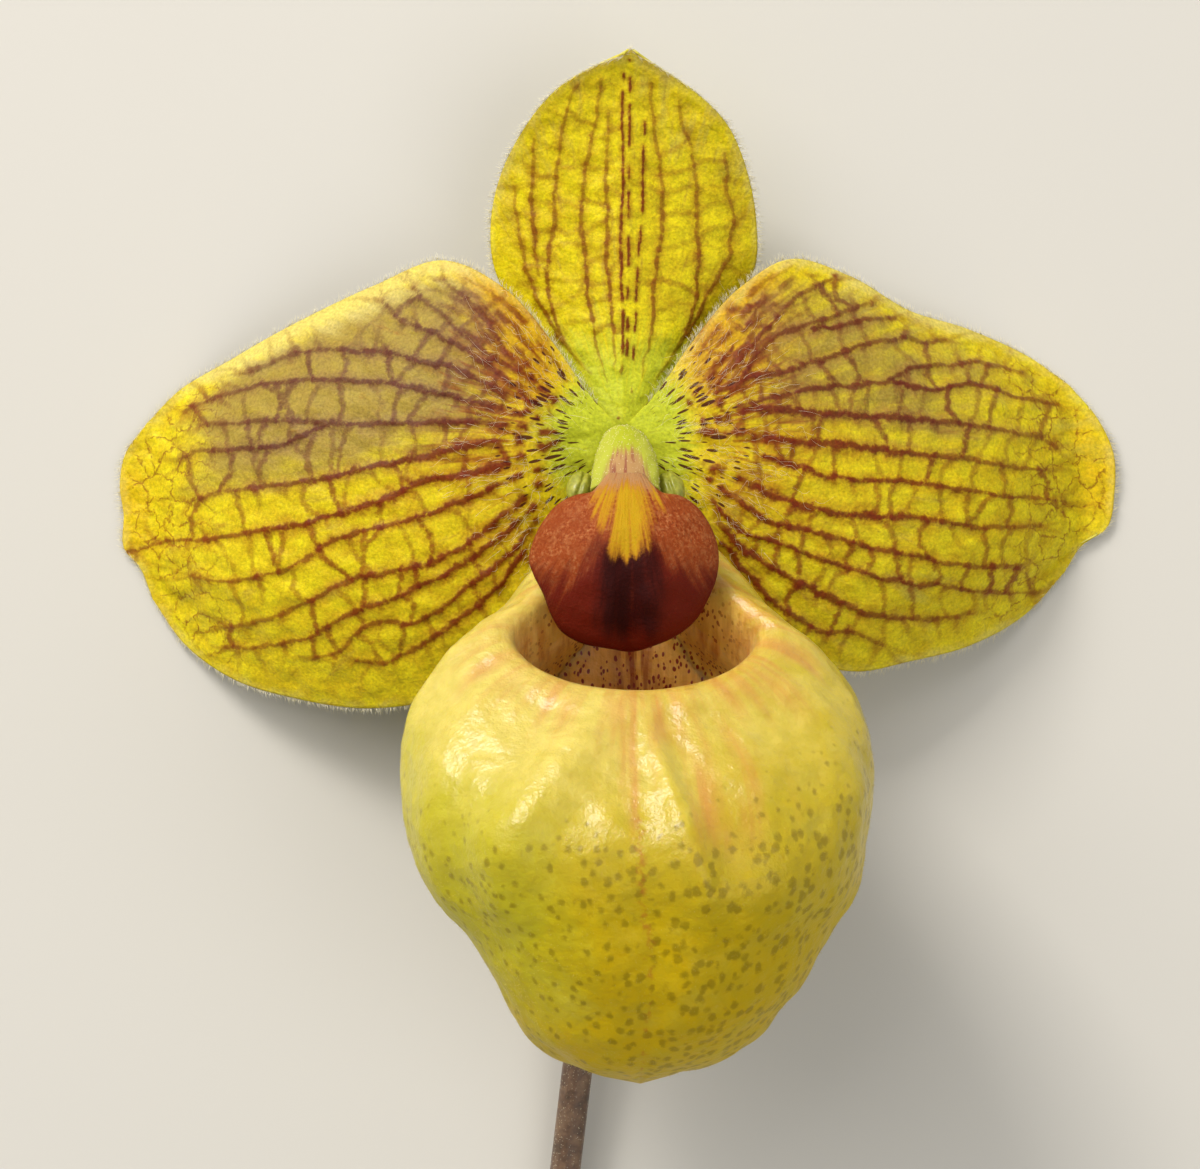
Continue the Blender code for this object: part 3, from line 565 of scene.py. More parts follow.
def main_veins(traced, rng, dark=(), broken=14.0):
    """The lengthwise veins, broken into dashes near the flower's centre and forked at their outer ends."""
    lines, forks = [], []
    for i, points in enumerate(traced):
        wide = 1.3 if i in dark else rng.uniform(0.85, 1.1)
        line, half, ink = vein_line(points, ((0, 0.35, 1), (0.26 * wide, 0.27 * wide, 0.17)),
                                    ((0, 0.6, 1), (1, 0.95 if i in dark else 0.85, 0.55)), rng)
        half = half * (1 + 0.3 * ripple(line, 1.3, rng.integers(1e6)))
        reach = np.hypot(*line.T)
        gate = ripple(line, 0.9, rng.integers(1e6)) + 0.25
        gate = np.where(reach < broken, ease(gate, -0.05, 0.25), 1)
        lines.append((line, half, ink * np.maximum(gate, ease(reach, broken * 0.75, broken) * 0.7)))
        onward = unit(line[-1] - line[-8])
        for turn in rng.uniform(-0.5, 0.5, 2) + (-0.3, 0.3):
            way = onward @ [[math.cos(turn), math.sin(turn)], [-math.sin(turn), math.cos(turn)]]
            length = rng.uniform(2.0, 5.0)
            bow = np.array([-way[1], way[0]]) * rng.normal(0, 0.12) * length
            path = [line[-1], line[-1] + way * length * 0.5 + bow, line[-1] + way * length]
            forks.append(vein_line(path, ((0, 1), (0.17, 0.1)), ((0, 1), (0.6, 0.1)), rng, 0.15))
    return lines, forks


def cross_veins(lines, rng, down, inner=12.0, gap=(1.6, 3.6), reach=8.0):
    """Short veins from each lengthwise one to the next, and forks that fade towards the margins."""
    starts = np.concatenate([points[:-1] for points, _, _ in lines])
    steps = np.concatenate([np.diff(points, axis=0) for points, _, _ in lines])
    owner = np.concatenate([np.full(len(points) - 1, i) for i, (points, _, _) in enumerate(lines)])
    found = []
    for i, (points, _, _) in enumerate(lines):
        run = np.concatenate([[0], np.cumsum(np.linalg.norm(np.diff(points, axis=0), axis=1))])
        for side in (1, -1):
            at = rng.uniform(0.5, 3)
            while at < run[-1]:
                here = np.array([np.interp(at, run, points[:, 0]), np.interp(at, run, points[:, 1])])
                ahead = np.array([np.interp(at + 0.8, run, points[:, 0]),
                                  np.interp(at + 0.8, run, points[:, 1])])
                at += rng.uniform(*gap)
                if np.hypot(*here) < inner:
                    continue
                along = unit(ahead - here + 1e-6)
                away = np.array([along[1], -along[0]])
                away = away * np.sign(away @ down) * side
                away = unit(away + along * rng.normal(0.1, 0.28))
                turn = away[0] * steps[:, 1] - away[1] * steps[:, 0]
                offset = starts - here
                turn = np.where(np.abs(turn) < 1e-9, 1e-9, turn)
                far = (offset[:, 0] * steps[:, 1] - offset[:, 1] * steps[:, 0]) / turn
                share = (offset[:, 0] * away[1] - offset[:, 1] * away[0]) / turn
                hit = (far > 0.7) & (far < reach) & (share >= 0) & (share <= 1) & (owner != i)
                if hit.any() and side < 0:
                    continue
                length = far[hit].min() if hit.any() else rng.uniform(2.5, 6.5)
                whole = hit.any() and rng.random() < 0.8
                length *= 1 if whole else rng.uniform(0.4, 0.8)
                bow = np.array([-away[1], away[0]]) * rng.normal(0, 0.1) * length
                path = [here, here + away * length * 0.5 + bow, here + away * length]
                bold = rng.uniform(0.45, 1.0)
                end = bold if whole else 0.1
                found.append(vein_line(path, ((0, 1), (0.13 + 0.1 * bold, 0.14)), ((0, 1), (bold, end)), rng,
                                       0.17))
    return found


def tip_arches(lines, rng):
    """Faint arches that join some ends of neighbouring veins near the tip."""
    found = []
    for (near, _, _), (far, _, _) in zip(lines, lines[1:]):
        start, end = near[-1], far[-1]
        if 1.2 < np.hypot(*(end - start)) < 7 and rng.random() < 0.6:
            out = unit((start + end) / 2) * rng.uniform(0.2, 1.0)
            found.append(vein_line([start, (start + end) / 2 + out, end], ((0, 1), (0.14, 0.14)),
                                   ((0, 0.5, 1), (0.5, 0.15, 0.5)), rng, 0.2))
    return found


def margin_streaks(outline, rng):
    """Soft red-brown streaks that run out beside the upper margin from near the flower's centre."""
    edge = curve_through(outline["upper"][1:6], 60)
    side = np.array([edge[-1, 1] - edge[0, 1], edge[0, 0] - edge[-1, 0]]) * -np.sign(edge[-1, 0])
    side = unit(side)
    found = []
    for depth in (1.3, 2.5, 3.6, 4.8, 5.9):
        first, last = int(rng.uniform(6, 16)), int(rng.uniform(42, 56))
        line, half, ink = vein_line((edge + side * -depth)[first:last:6], ((0, 0.5, 1), (0.12, 0.3, 0.1)),
                                    ((0, 0.5, 1), (0.5, 0.85, 0.2)), rng, 0.2)
        found.append((line, half, ink * ease(ripple(line, 1.6, rng.integers(1e6)), -0.7, -0.1)))
    return found


def rgba(colour):
    """What a colour socket takes, from #rrggbb or from three linear values."""
    return (*(linear(colour) if isinstance(colour, str) else colour), 1.0)


def feed(tree, sockets, sources):
    """Links sources into sockets by name or place, or sets their plain values."""
    for key, source in sources.items():
        socket = sockets[key] if isinstance(key, int) else next(s for s in sockets if s.name == key)
        if isinstance(source, bpy.types.Node):
            source = next(s for s in source.outputs if s.enabled)
        if isinstance(source, bpy.types.NodeSocket):
            tree.links.new(source, socket)
        else:
            socket.default_value = rgba(source) if socket.type == "RGBA" else source


def add(tree, kind, sources=None, stops=None, **settings):
    """Adds a node, with its settings, what feeds it, and a ramp's stops. A Mix node here mixes colours."""
    node = tree.nodes.new("ShaderNode" + kind)
    if kind == "Mix":
        node.data_type = "RGBA"
    for key, value in settings.items():
        setattr(node, key, value)
    feed(tree, [socket for socket in node.inputs if socket.enabled], sources or {})
    if stops:
        ramp = node.color_ramp
        while len(ramp.elements) < len(stops):
            ramp.elements.new(0.5)
        for element, (place, colour) in zip(ramp.elements, stops):
            element.position = place
            element.color = rgba(colour)
    return node


def start_material(name, sockets):
    """A material with one principled shader, its plain sockets set, and its node for places in metres."""
    material = bpy.data.materials.new(name)
    material.use_nodes = True
    tree = material.node_tree
    shader = tree.nodes["Principled BSDF"]
    for key, value in sockets.items():
        shader.inputs[key].default_value = value
    place = add(tree, "TexCoord").outputs["Object"]
    return material, tree, shader, place


def fields_of(tree, *names):
    return [add(tree, "Attribute", attribute_name=name).outputs["Fac"] for name in names]


def blade_material(name, ground, deep, settings):
    """Living petal tissue: a translucent epidermis of domed cells over netted veins.

    The cells' domes give it a fine matte sparkle with a broad soft sheen, and light that enters comes out
    yellower, so it looks lit from within. Pigment in the veins and the skin's cells is soft and granular.
    """
    material, tree, shader, place = start_material(name, {
        "IOR": 1.42, "Specular IOR Level": 0.2, "Subsurface Weight": 0.35,
        "Subsurface Radius": (1.0, 0.8, 0.2), "Subsurface Scale": 0.0007})
    main, ink, cross, cross_ink, behind = fields_of(tree, "vein", "vein_ink", "cross", "cross_ink", "behind")
    lime, olive, orange, tip, pale, flush = fields_of(tree, "lime", "olive", "orange", "tip", "pale", "flush")
    fan, reach, net, spots = fields_of(tree, "fan", "reach", "net", "spots")
    cells = add(tree, "TexNoise", {"Vector": place, "Scale": scale_of(0.32), "Detail": 2.0, "Roughness": 0.6})
    specks = add(tree, "TexNoise",
                 {"Vector": place, "Scale": scale_of(0.7), "Detail": 3.0, "Roughness": 0.65})
    blotch = add(tree, "TexNoise", {"Vector": place, "Scale": scale_of(2.2), "Detail": 3.0, "Roughness": 0.6})
    cloud = add(tree, "TexNoise", {"Vector": place, "Scale": scale_of(9.0), "Detail": 2.0})
    ray = add(tree, "CombineXYZ", {"X": fan, "Y": reach})
    rays = add(tree, "TexNoise", {"Vector": ray, "Scale": 1.1, "Detail": 3.0, "Roughness": 0.6},
               noise_dimensions="2D")

    # Ground colours, from the clean yellow to the flushes; the pale zone is cream pigment with a painted
    # sheen and a painted rim light along the margins
    patches = add(tree, "MapRange", {"Value": blotch.outputs[0], "From Min": 0.36, "From Max": 0.72})
    colour = add(tree, "Mix", {"Factor": patches, "A": ground, "B": deep})
    uneven = add(tree, "Math", {0: cloud.outputs[0], 1: rays.outputs[0]}, operation="ADD")
    uneven = add(tree, "Math", {0: uneven, 1: 0.9, 2: -0.9}, operation="MULTIPLY_ADD")
    for field, shade, most in ((orange, settings.orange, 0.6), (olive, settings.olive, 0.85),
                               (tip, settings.tip, 0.6), (pale, settings.pale, 0.65),
                               (lime, settings.lime, 0.95)):
        spread = add(tree, "Math", {0: uneven, 1: field}, operation="ADD")
        amount = add(tree, "MapRange", {"Value": spread, "From Min": 0.08, "From Max": 0.92, "To Max": most},
                     interpolation_type="SMOOTHSTEP")
        colour = add(tree, "Mix", {"Factor": amount, "A": colour, "B": shade})

    # Red-brown pigment, in streaks that run out from the base and in grains round the veins
    fray = add(tree, "Math", {0: specks.outputs[0], 1: 5.0, 2: -2.5}, operation="MULTIPLY_ADD")
    clear = add(tree, "Math", {0: 1.0, 1: lime}, operation="SUBTRACT")
    maroon = add(tree, "Mix", {"Factor": olive, "A": settings.vein, "B": "#5a281c"})
    warm = add(tree, "Mix", {"Factor": olive, "A": "#94460a", "B": "#74483a"})
    streak = add(tree, "Math", {0: rays.outputs[0], 1: 2.6, 2: -1.3}, operation="MULTIPLY_ADD")
    streak = add(tree, "Math", {0: fray, 1: 0.12, 2: streak}, operation="MULTIPLY_ADD")
    streak = add(tree, "Math", {0: streak, 1: flush}, operation="ADD")
    streak = add(tree, "MapRange", {"Value": streak, "From Min": 0.35, "From Max": 1.2, "To Max": 0.75},
                 interpolation_type="SMOOTHSTEP")
    colour = add(tree, "Mix", {"Factor": streak, "A": colour, "B": "#843400"})
    halo_width = add(tree, "Math", {0: fray, 1: 1.3, 2: main}, operation="MULTIPLY_ADD")
    halo = add(tree, "MapRange", {"Value": halo_width, "From Min": 5.4, "From Max": 0.4, "To Max": 0.5},
               interpolation_type="SMOOTHSTEP")
    halo = add(tree, "Math", {0: halo, 1: ink}, operation="MULTIPLY")
    halo = add(tree, "Math", {0: halo, 1: clear}, operation="MULTIPLY")
    colour = add(tree, "Mix", {"Factor": halo, "A": colour, "B": warm})

    # A faint net of the finest veins, 2.4 mm wide, mostly near the tips and margins
    rust = add(tree, "Mix", {"Factor": 0.35, "A": maroon, "B": warm})
    bend = add(tree, "VectorMath", {0: blotch.outputs[1], "Scale": 1.1}, operation="SCALE")
    flat = add(tree, "VectorMath", {0: place, 1: (scale_of(2.4), scale_of(2.4), 0.0), 2: bend},
               operation="MULTIPLY_ADD")
    mesh = add(tree, "TexVoronoi", {"Vector": flat, "Scale": 1.0}, voronoi_dimensions="2D",
               feature="DISTANCE_TO_EDGE")
    thread = add(tree, "Math", {0: fray, 1: 0.03, 2: mesh.outputs["Distance"]}, operation="MULTIPLY_ADD")
    thread = add(tree, "MapRange", {"Value": thread, "From Min": 0.09, "From Max": 0.01, "To Max": 0.75},
                 interpolation_type="SMOOTHSTEP")
    thread = add(tree, "Math", {0: thread, 1: net}, operation="MULTIPLY")
    thread = add(tree, "Math", {0: thread, 1: add(tree, "MapRange", {
        "Value": specks.outputs[0], "From Min": 0.38, "From Max": 0.56}).outputs[0]}, operation="MULTIPLY")
    colour = add(tree, "Mix", {"Factor": thread, "A": colour, "B": rust})

    # The veins themselves, their edges frayed by the cells
    cross_width = add(tree, "Math", {0: fray, 1: 1.0, 2: cross}, operation="MULTIPLY_ADD")
    cross_mask = add(tree, "MapRange",
                     {"Value": cross_width, "From Min": 2.8, "From Max": 0.3, "To Max": 0.85},
                     interpolation_type="SMOOTHSTEP")
    cross_mask = add(tree, "Math", {0: cross_mask, 1: cross_ink}, operation="MULTIPLY")
    colour = add(tree, "Mix", {"Factor": cross_mask, "A": colour, "B": rust})
    main_width = add(tree, "Math", {0: fray, 1: 0.7, 2: main}, operation="MULTIPLY_ADD")
    main_mask = add(tree, "MapRange",
                    {"Value": main_width, "From Min": 1.85, "From Max": 0.4, "To Max": 0.92},
                    interpolation_type="SMOOTHSTEP")
    main_mask = add(tree, "Math", {0: main_mask, 1: ink}, operation="MULTIPLY")
    colour = add(tree, "Mix", {"Factor": main_mask, "A": colour, "B": maroon})

    # Short dark dashes about 0.3 mm wide that point away from the flower's centre
    dash_place = add(tree, "VectorMath", {0: ray, 1: (0.74, 2.4, 0.0)}, operation="MULTIPLY")
    dashes = add(tree, "TexVoronoi", {"Vector": dash_place, "Scale": 1.0, "Randomness": 0.9},
                 voronoi_dimensions="2D")
    dash = add(tree, "Math", {0: dashes.outputs["Color"], 1: 0.5, 2: -0.03}, operation="MULTIPLY_ADD")
    dash = add(tree, "Math", {0: dash, 1: spots}, operation="MULTIPLY")
    dash = add(tree, "Math", {0: dash, 1: dashes.outputs["Distance"]}, operation="SUBTRACT")
    dash = add(tree, "MapRange", {"Value": dash, "From Min": -0.03, "From Max": 0.04, "To Max": 0.95},
               interpolation_type="SMOOTHSTEP")
    colour = add(tree, "Mix", {"Factor": dash, "A": colour, "B": "#4a1408"})

    # Fine grain of the single cells, and the paler back where the pigment only shows through
    grain = add(tree, "MapRange",
                {"Value": cells.outputs[0], "From Min": 0.32, "From Max": 0.68, "To Min": 0.8,
                 "To Max": 1.14})
    colour = add(tree, "VectorMath", {0: colour, "Scale": grain}, operation="SCALE")
    reverse = add(tree, "Math", {0: behind, 1: 0.8}, operation="MULTIPLY")
    colour = add(tree, "Mix", {"Factor": reverse, "A": colour, "B": settings.back})
    rough = add(tree, "MapRange",
                {"Value": blotch.outputs[0], "From Min": 0.3, "From Max": 0.7, "To Min": 0.44,
                 "To Max": 0.6})
    bump = add(tree, "Bump", {"Height": cells.outputs[0], "Strength": 0.9, "Distance": 0.1 * MM})
    feed(tree, shader.inputs, {"Base Color": colour, "Roughness": rough, "Normal": bump})
    return material


def build_blade(name, node, slot, rows, s, v, material, thickness, lines, crossing, relief, zones,
                floor=False):
    """A blade with its veins raised and the skin between them puffed. Returns the rows of its front."""
    seen = as_seen(rows).reshape(-1, 2)
    shape = rows.shape[:2]
    vein, ink = (field.reshape(shape) for field in nearest_line(seen, lines))
    cross, cross_ink = (field.reshape(shape) for field in nearest_line(seen, crossing))
    margin = np.concatenate([rows[:, 0], rows[-1, 1:], rows[-2::-1, -1]])[::2, :2]
    ring = [(margin, np.ones(len(margin)), np.ones(len(margin)))]
    edge = nearest_line(rows[..., :2].reshape(-1, 2), ring)[0].reshape(shape)
    inward = ease(edge, 0.2, 1.5)
    raised = relief * ink * np.exp(-((vein / 1.3) ** 2))
    raised = raised + 0.6 * relief * cross_ink * np.exp(-((cross / 1.4) ** 2))
    puff = 0.13 * ripple(rows[..., :2], 1.6, 5) + 0.05 * ripple(rows[..., :2], 0.7, 6)
    rows = rows + sheet_normals(rows) * ((raised + puff) * inward)[..., None]
    taper = np.exp(-edge / 1.1)
    thick = thickness[0] * (1 - taper) + thickness[1] * taper
    seen = seen.reshape(*shape, 2)
    fan = np.arctan2(seen[..., 1], np.abs(seen[..., 0]) + 0.3) * 20
    fields = dict(vein=vein, vein_ink=ink, cross=cross, cross_ink=cross_ink, fan=fan,
                  reach=np.hypot(seen[..., 0], seen[..., 1]) * 0.16)
    found = zones(seen, s, v, edge)
    fields.update({zone: found.get(zone, 0) + 0 * edge for zone in ZONES})
    two_sided(name, rows, thick, material, node, slot, floor=floor, **fields)
    return rows


def petal_zones(side):
    """Where the flushes lie on a petal. side is -1 for the left petal, whose upper half is the greyer one."""
    def zones(seen, s, v, edge):
        reach = np.hypot(seen[..., 0], seen[..., 1])
        low = ease(-v, -0.2, -0.9)
        lime = ease(reach, 10.5 + 3 * low, 5.0)
        left = side < 0
        olive = ease(v, 0.05, -0.35) * ease(s, 0.2, 0.42) * ease(s, 0.97, 0.7 if left else 0.62)
        olive = olive * (1.0 if left else 0.62) * ease(edge, 0.5, 3.0)
        orange = 0.8 * ease(v, -0.15, -0.7) * ease(s, 0.12, 0.25) * ease(s, 0.5, 0.32)
        orange = orange + 0.4 * ease(reach, 26, 14) * (1 - lime) * ease(v, 0.75, 0.2)
        flush = 0.8 * ease(reach, 8.5, 12) * ease(reach, 24 if left else 22, 13) * ease(v, 0.3, -0.15)
        flush = flush * (1 - 0.6 * ease(edge, 5.0, 1.5)) + 0.25 * ease(reach, 10, 13) * ease(reach, 22, 14)
        tip = 0.8 * ease(s, 0.85, 0.97) * ease(np.abs(v + 0.05), 0.75, 0.2)
        # Pale: cream pigment with a painted sheen along the upper margin, strongest on the left petal, and a
        # thin painted rim light along the margin
        pale = ease(v, -0.72, -0.97) * ease(s, 0.25, 0.45) * ease(s, 0.95, 0.75) * (0.9 if left else 0.35)
        pale = pale + 0.35 * ease(edge, 1.4, 0.3)
        net = np.maximum(0.18, ease(s, 0.72, 0.86) * ease(edge, 0.3, 1.5))
        return dict(lime=lime, olive=olive, orange=np.clip(orange, 0, 1), tip=tip, pale=np.clip(pale, 0, 1),
                    flush=np.clip(flush, 0, 1) * 0.85, net=net * (1 - lime) * ease(v, -0.97, -0.8),
                    spots=ease(reach, 3.6, 5.5) * ease(reach, 15, 9))
    return zones


def sepal_zones(seen, s, v, edge):
    lime = 0.9 * ease(seen[..., 1], 17.0, 4.0)
    orange = 0.15 * ease(np.abs(v), 0.2, 0.6) * ease(seen[..., 1], 8, 16)
    # The pale zone here is a thin painted rim light along the sepal's margin
    return dict(lime=lime, orange=orange, pale=0.3 * ease(edge, 1.1, 0.2),
                net=0.3 * (1 - lime) * ease(edge, 0.3, 1.5))


def lower_sepal_zones(seen, s, v, edge):
    return dict(lime=0.35 + 0.5 * ease(-seen[..., 1], 16, 4), pale=0.4, net=0.3)


class ORCHID_OT_petals(bpy.types.Operator):
    """Build the two veined petals"""
    bl_idname = "orchid.petals"
    bl_label = "Petals"

    def execute(self, context):
        look = context.scene.orchid_blades
        material = blade_material("petal_tissue", look.petal_yellow, linear("#c6a80e"), look)
        thick = (look.thickness / MM, look.margin / MM)
        for name, outline, traced, dark, side, phase in (
                ("petal_left", LEFT_PETAL, LEFT_VEINS, (7, 8), -1, 0.4),
                ("petal_right", RIGHT_PETAL, RIGHT_VEINS, (7, 8, 10), 1, 2.1)):
            rng = np.random.default_rng(11 if side < 0 else 12)
            plan, s, v = blade_plan(outline, *PETAL_GRID)
            rows = np.dstack([plan, petal_height(s, v, phase)])
            lines, forks = main_veins(traced, rng, dark)
            crossing = cross_veins(lines, rng, np.array([0, -1.0])) + tip_arches(lines, rng) + forks
            lines = lines + margin_streaks(outline, rng)
            if side > 0:
                rows, s, v = rows[:, ::-1], s[:, ::-1], v[:, ::-1]
            SKINS[name] = build_blade(name + "_blade", name, "petal", rows, s, v, material, thick, lines,
                                      crossing, look.relief / MM, petal_zones(side), floor=True)
        return {"FINISHED"}


class ORCHID_OT_sepals(bpy.types.Operator):
    """Build the hooded upper sepal and the lower one behind the pouch"""
    bl_idname = "orchid.sepals"
    bl_label = "Sepals"

    def execute(self, context):
        look = context.scene.orchid_blades
        material = blade_material("sepal_tissue", look.sepal_yellow, linear("#c8b00e"), look)
        thick = (look.thickness / MM, look.margin / MM)
        rng = np.random.default_rng(21)
        plan, s, v = blade_plan(UPPER_SEPAL, *UPPER_SEPAL_GRID)
        rows = np.dstack([plan, upper_sepal_height(s, v)])[:, ::-1]
        middle = [vein_line(points, ((0, 1), (0.15 - 0.02 * i, 0.11)), ((0, 1), (1, 0.95)), rng, 0.05, 0.3)
                  for i, points in enumerate(SEPAL_DARK_VEINS)]
        for i, ((line, half, ink), gap) in enumerate(zip(middle, SEPAL_DARK_GAPS)):
            whole = ripple(line * (1, 0.55), 0.8, 40 + i) - 0.9 * ease(line[:, 1], 12, 6)
            middle[i] = line, half, ink * ease(whole, gap, gap + 0.2)
        soft = [vein_line(points, ((0, 0.3, 0.5, 1), (0.1, 0.17, 0.2, 0.13)),
                          ((0, 0.2, 0.4, 1), (0.3, 0.75, 0.75, 0.4)), rng)
                for points in SEPAL_VEINS]
        crossing = cross_veins(soft, rng, np.array([1.0, 0]), 11.0, (1.9, 3.6), 5.0)
        crossing = [(line, half, ink * 0.6) for line, half, ink in crossing]
        SKINS["sepal_upper"] = build_blade(
            "sepal_upper_blade", "sepal_upper", "sepal", rows, s[:, ::-1], v[:, ::-1], material, thick,
            middle + soft, crossing, look.relief * 0.7 / MM, sepal_zones)

        plan, s, v = blade_plan(LOWER_SEPAL, *LOWER_SEPAL_GRID)
        rows = np.dstack([plan, lower_sepal_height(s, v)])[:, ::-1]
        soft = [vein_line(points, ((0, 1), (0.2, 0.14)), ((0, 1), (0.5, 0.2)), rng)
                for points in LOWER_SEPAL_VEINS]
        crossing = cross_veins(soft, rng, np.array([1.0, 0]), 8.0, (3.0, 6.0), 5.0)
        crossing = [(line, half, ink * 0.4) for line, half, ink in crossing]
        SKINS["sepal_lower"] = build_blade(
            "sepal_lower_blade", "sepal_lower", "sepal", rows, s[:, ::-1], v[:, ::-1], material, thick, soft,
            crossing, look.relief / MM, lower_sepal_zones)
        return {"FINISHED"}


def pouch_rings(steps, sides):
    """The pouch's outer skin as rings, with u from the free edge inside the mouth and the angle round it."""
    rows = np.array(POUCH_RINGS)
    between = np.linalg.norm(np.diff(rows[:, :4], axis=0), axis=1)
    knots = np.concatenate([[0.0], np.cumsum(between)])
    places = np.linspace(0, knots[-1], steps + 1)
    u = (places / knots[MOUTH_RINGS - 1])[:, None]
    y, z, width, ahead, behind, tilt, shift = (smooth(knots, rows, places)[:, k, None] for k in range(7))
    angle = np.linspace(0, 2 * math.pi, sides, endpoint=False)[None, :]
    front, side = np.cos(angle), np.sin(angle)
    past_sides = ease(front, 0.25, -0.45)
    pinch = 1 - 0.5 * np.exp(-((u / 2.6) ** 2)) * past_sides
    groove = 0.9 * np.exp(-((side / 0.16) ** 2)) * (front > 0)
    groove = groove + 0.5 * np.exp(-((side / 0.2) ** 2)) * (front < 0)
    depth = np.where(front > 0, ahead, behind) - np.clip((u - 1.6) / 4.0, 0, 1) * groove
    lift = 3.3 * np.maximum(0, 1 - u) * np.clip(-front, 0, 1) - 1.6 * np.exp(-((u / 1.9) ** 2)) * side**2
    lean = np.radians(tilt)
    rings = np.dstack([shift + width * side * pinch,
                       y - depth * front * np.sin(lean) + lift * np.cos(lean),
                       z + depth * front * np.cos(lean) + lift * np.sin(lean)])
    return rings, u + 0 * angle, angle + 0 * u


def pouch_material(settings):
    """A waxy living pouch: thick translucent tissue under a smooth cuticle.

    The cuticle gives soft broken highlights over pleats and a fine crepe, and the tissue below lets light
    wander through the wall, so shaded sides and the mouth stay warm. The pale upper part is partly a painted
    highlight, strongest on the upper left, and the ground inside the mouth carries painted light: it is
    lighter than the tissue, for the light that comes in through the wall. Pigment lies in soft olive spots,
    with pink streaks near the rim and red-brown dots inside.
    """
    material, tree, shader, place = start_material("waxy_pouch", {
        "IOR": 1.47, "Specular IOR Level": 0.08, "Subsurface Weight": 0.6,
        "Subsurface Radius": (1.0, 0.75, 0.25), "Subsurface Scale": 0.002, "Coat Roughness": 0.36})
    blush, mouth, middle, low, left, spots, cream, heel, behind = fields_of(
        tree, "blush", "mouth", "middle", "low", "left", "spots", "cream", "heel", "behind")
    around, down, back_line = fields_of(tree, "around", "down", "back_line")
    cells = add(tree, "TexNoise", {"Vector": place, "Scale": scale_of(0.4), "Detail": 2.0})
    crepe = add(tree, "TexNoise", {"Vector": place, "Scale": scale_of(1.5), "Detail": 3.0, "Roughness": 0.55})
    blotch = add(tree, "TexNoise",
                 {"Vector": place, "Scale": scale_of(4.5), "Detail": 4.0, "Roughness": 0.65})
    specks = add(tree, "TexNoise", {"Vector": place, "Scale": scale_of(0.8), "Detail": 3.0, "Roughness": 0.6})
    wander = add(tree, "TexNoise", {"Vector": place, "Scale": scale_of(1.8), "Detail": 2.0})
    shaken = add(tree, "VectorMath", {0: wander.outputs[1], "Scale": 0.0006}, operation="SCALE")
    shaken = add(tree, "VectorMath", {0: place, 1: shaken}, operation="ADD")
    strip = add(tree, "CombineXYZ", {"X": around, "Y": down})
    run = add(tree, "VectorMath", {0: strip, 1: (1.0, 0.13, 0.0)}, operation="MULTIPLY")
    rays = add(tree, "TexNoise", {"Vector": run, "Scale": 0.9, "Detail": 4.0, "Roughness": 0.62},
               noise_dimensions="2D")
    broad = add(tree, "TexNoise", {"Vector": run, "Scale": 0.42, "Detail": 3.0, "Roughness": 0.5},
                noise_dimensions="2D")

    # Broad colours: a pale top that is partly a painted highlight, strongest at the upper left, green at the
    # left, gold round the toe
    colour = add(tree, "Mix", {"Factor": low, "A": settings.wax, "B": settings.gold})
    for field, shade, most in ((left, settings.green, 0.75), (cream, settings.cream, 0.85)):
        spread = add(tree, "Math", {0: blotch.outputs[0], 1: 1.1, 2: field}, operation="MULTIPLY_ADD")
        amount = add(tree, "MapRange", {"Value": spread, "From Min": 0.5, "From Max": 1.5, "To Max": most},
                     interpolation_type="SMOOTHSTEP")
        colour = add(tree, "Mix", {"Factor": amount, "A": colour, "B": shade})
    dull = add(tree, "MapRange",
               {"Value": crepe.outputs[0], "From Min": 0.4, "From Max": 0.62, "To Max": 0.3})
    colour = add(tree, "Mix", {"Factor": dull, "A": colour, "B": "#a8981c"})

    # Pink and orange flush over the rim and down the front, in streaks that run down from it
    flush = add(tree, "Math", {0: rays.outputs[0], 1: 0.35, 2: broad.outputs[0]}, operation="MULTIPLY_ADD")
    flush = add(tree, "Math", {0: flush, 1: 2.0, 2: -1.35}, operation="MULTIPLY_ADD")
    flush = add(tree, "Math", {0: flush, 1: blush}, operation="ADD")
    flush = add(tree, "MapRange", {"Value": flush, "From Min": 0.0, "From Max": 1.1, "To Max": 0.65},
                interpolation_type="SMOOTHSTEP")
    flush = add(tree, "Math", {0: flush,
                               1: add(tree, "MapRange", {"Value": blush, "From Max": 0.3}).outputs[0]},
                operation="MULTIPLY")
    colour = add(tree, "Mix", {"Factor": flush, "A": colour, "B": "#c07c3c"})

    # Soft olive spots, about 1.2 mm apart
    wide = add(tree, "VectorMath", {0: shaken, 1: (1.0, 0.82, 1.0)}, operation="MULTIPLY")
    dots = add(tree, "TexVoronoi", {"Vector": wide, "Scale": scale_of(1.2), "Randomness": 0.9})
    size = add(tree, "MapRange",
               {"Value": specks.outputs[0], "From Min": 0.35, "From Max": 0.6, "To Min": 0.22,
                "To Max": 0.43})
    size = add(tree, "Math", {0: size, 1: spots}, operation="MULTIPLY")
    dot = add(tree, "Math", {0: size, 1: dots.outputs["Distance"]}, operation="SUBTRACT")
    dot = add(tree, "MapRange", {"Value": dot, "From Min": -0.15, "From Max": 0.13, "To Max": 0.55},
              interpolation_type="SMOOTHSTEP")
    dot = add(tree, "Math", {0: dot, 1: add(tree, "MapRange", {"Value": spots, "From Max": 0.4}).outputs[0]},
              operation="MULTIPLY")
    colour = add(tree, "Mix", {"Factor": dot, "A": colour, "B": settings.speckle})

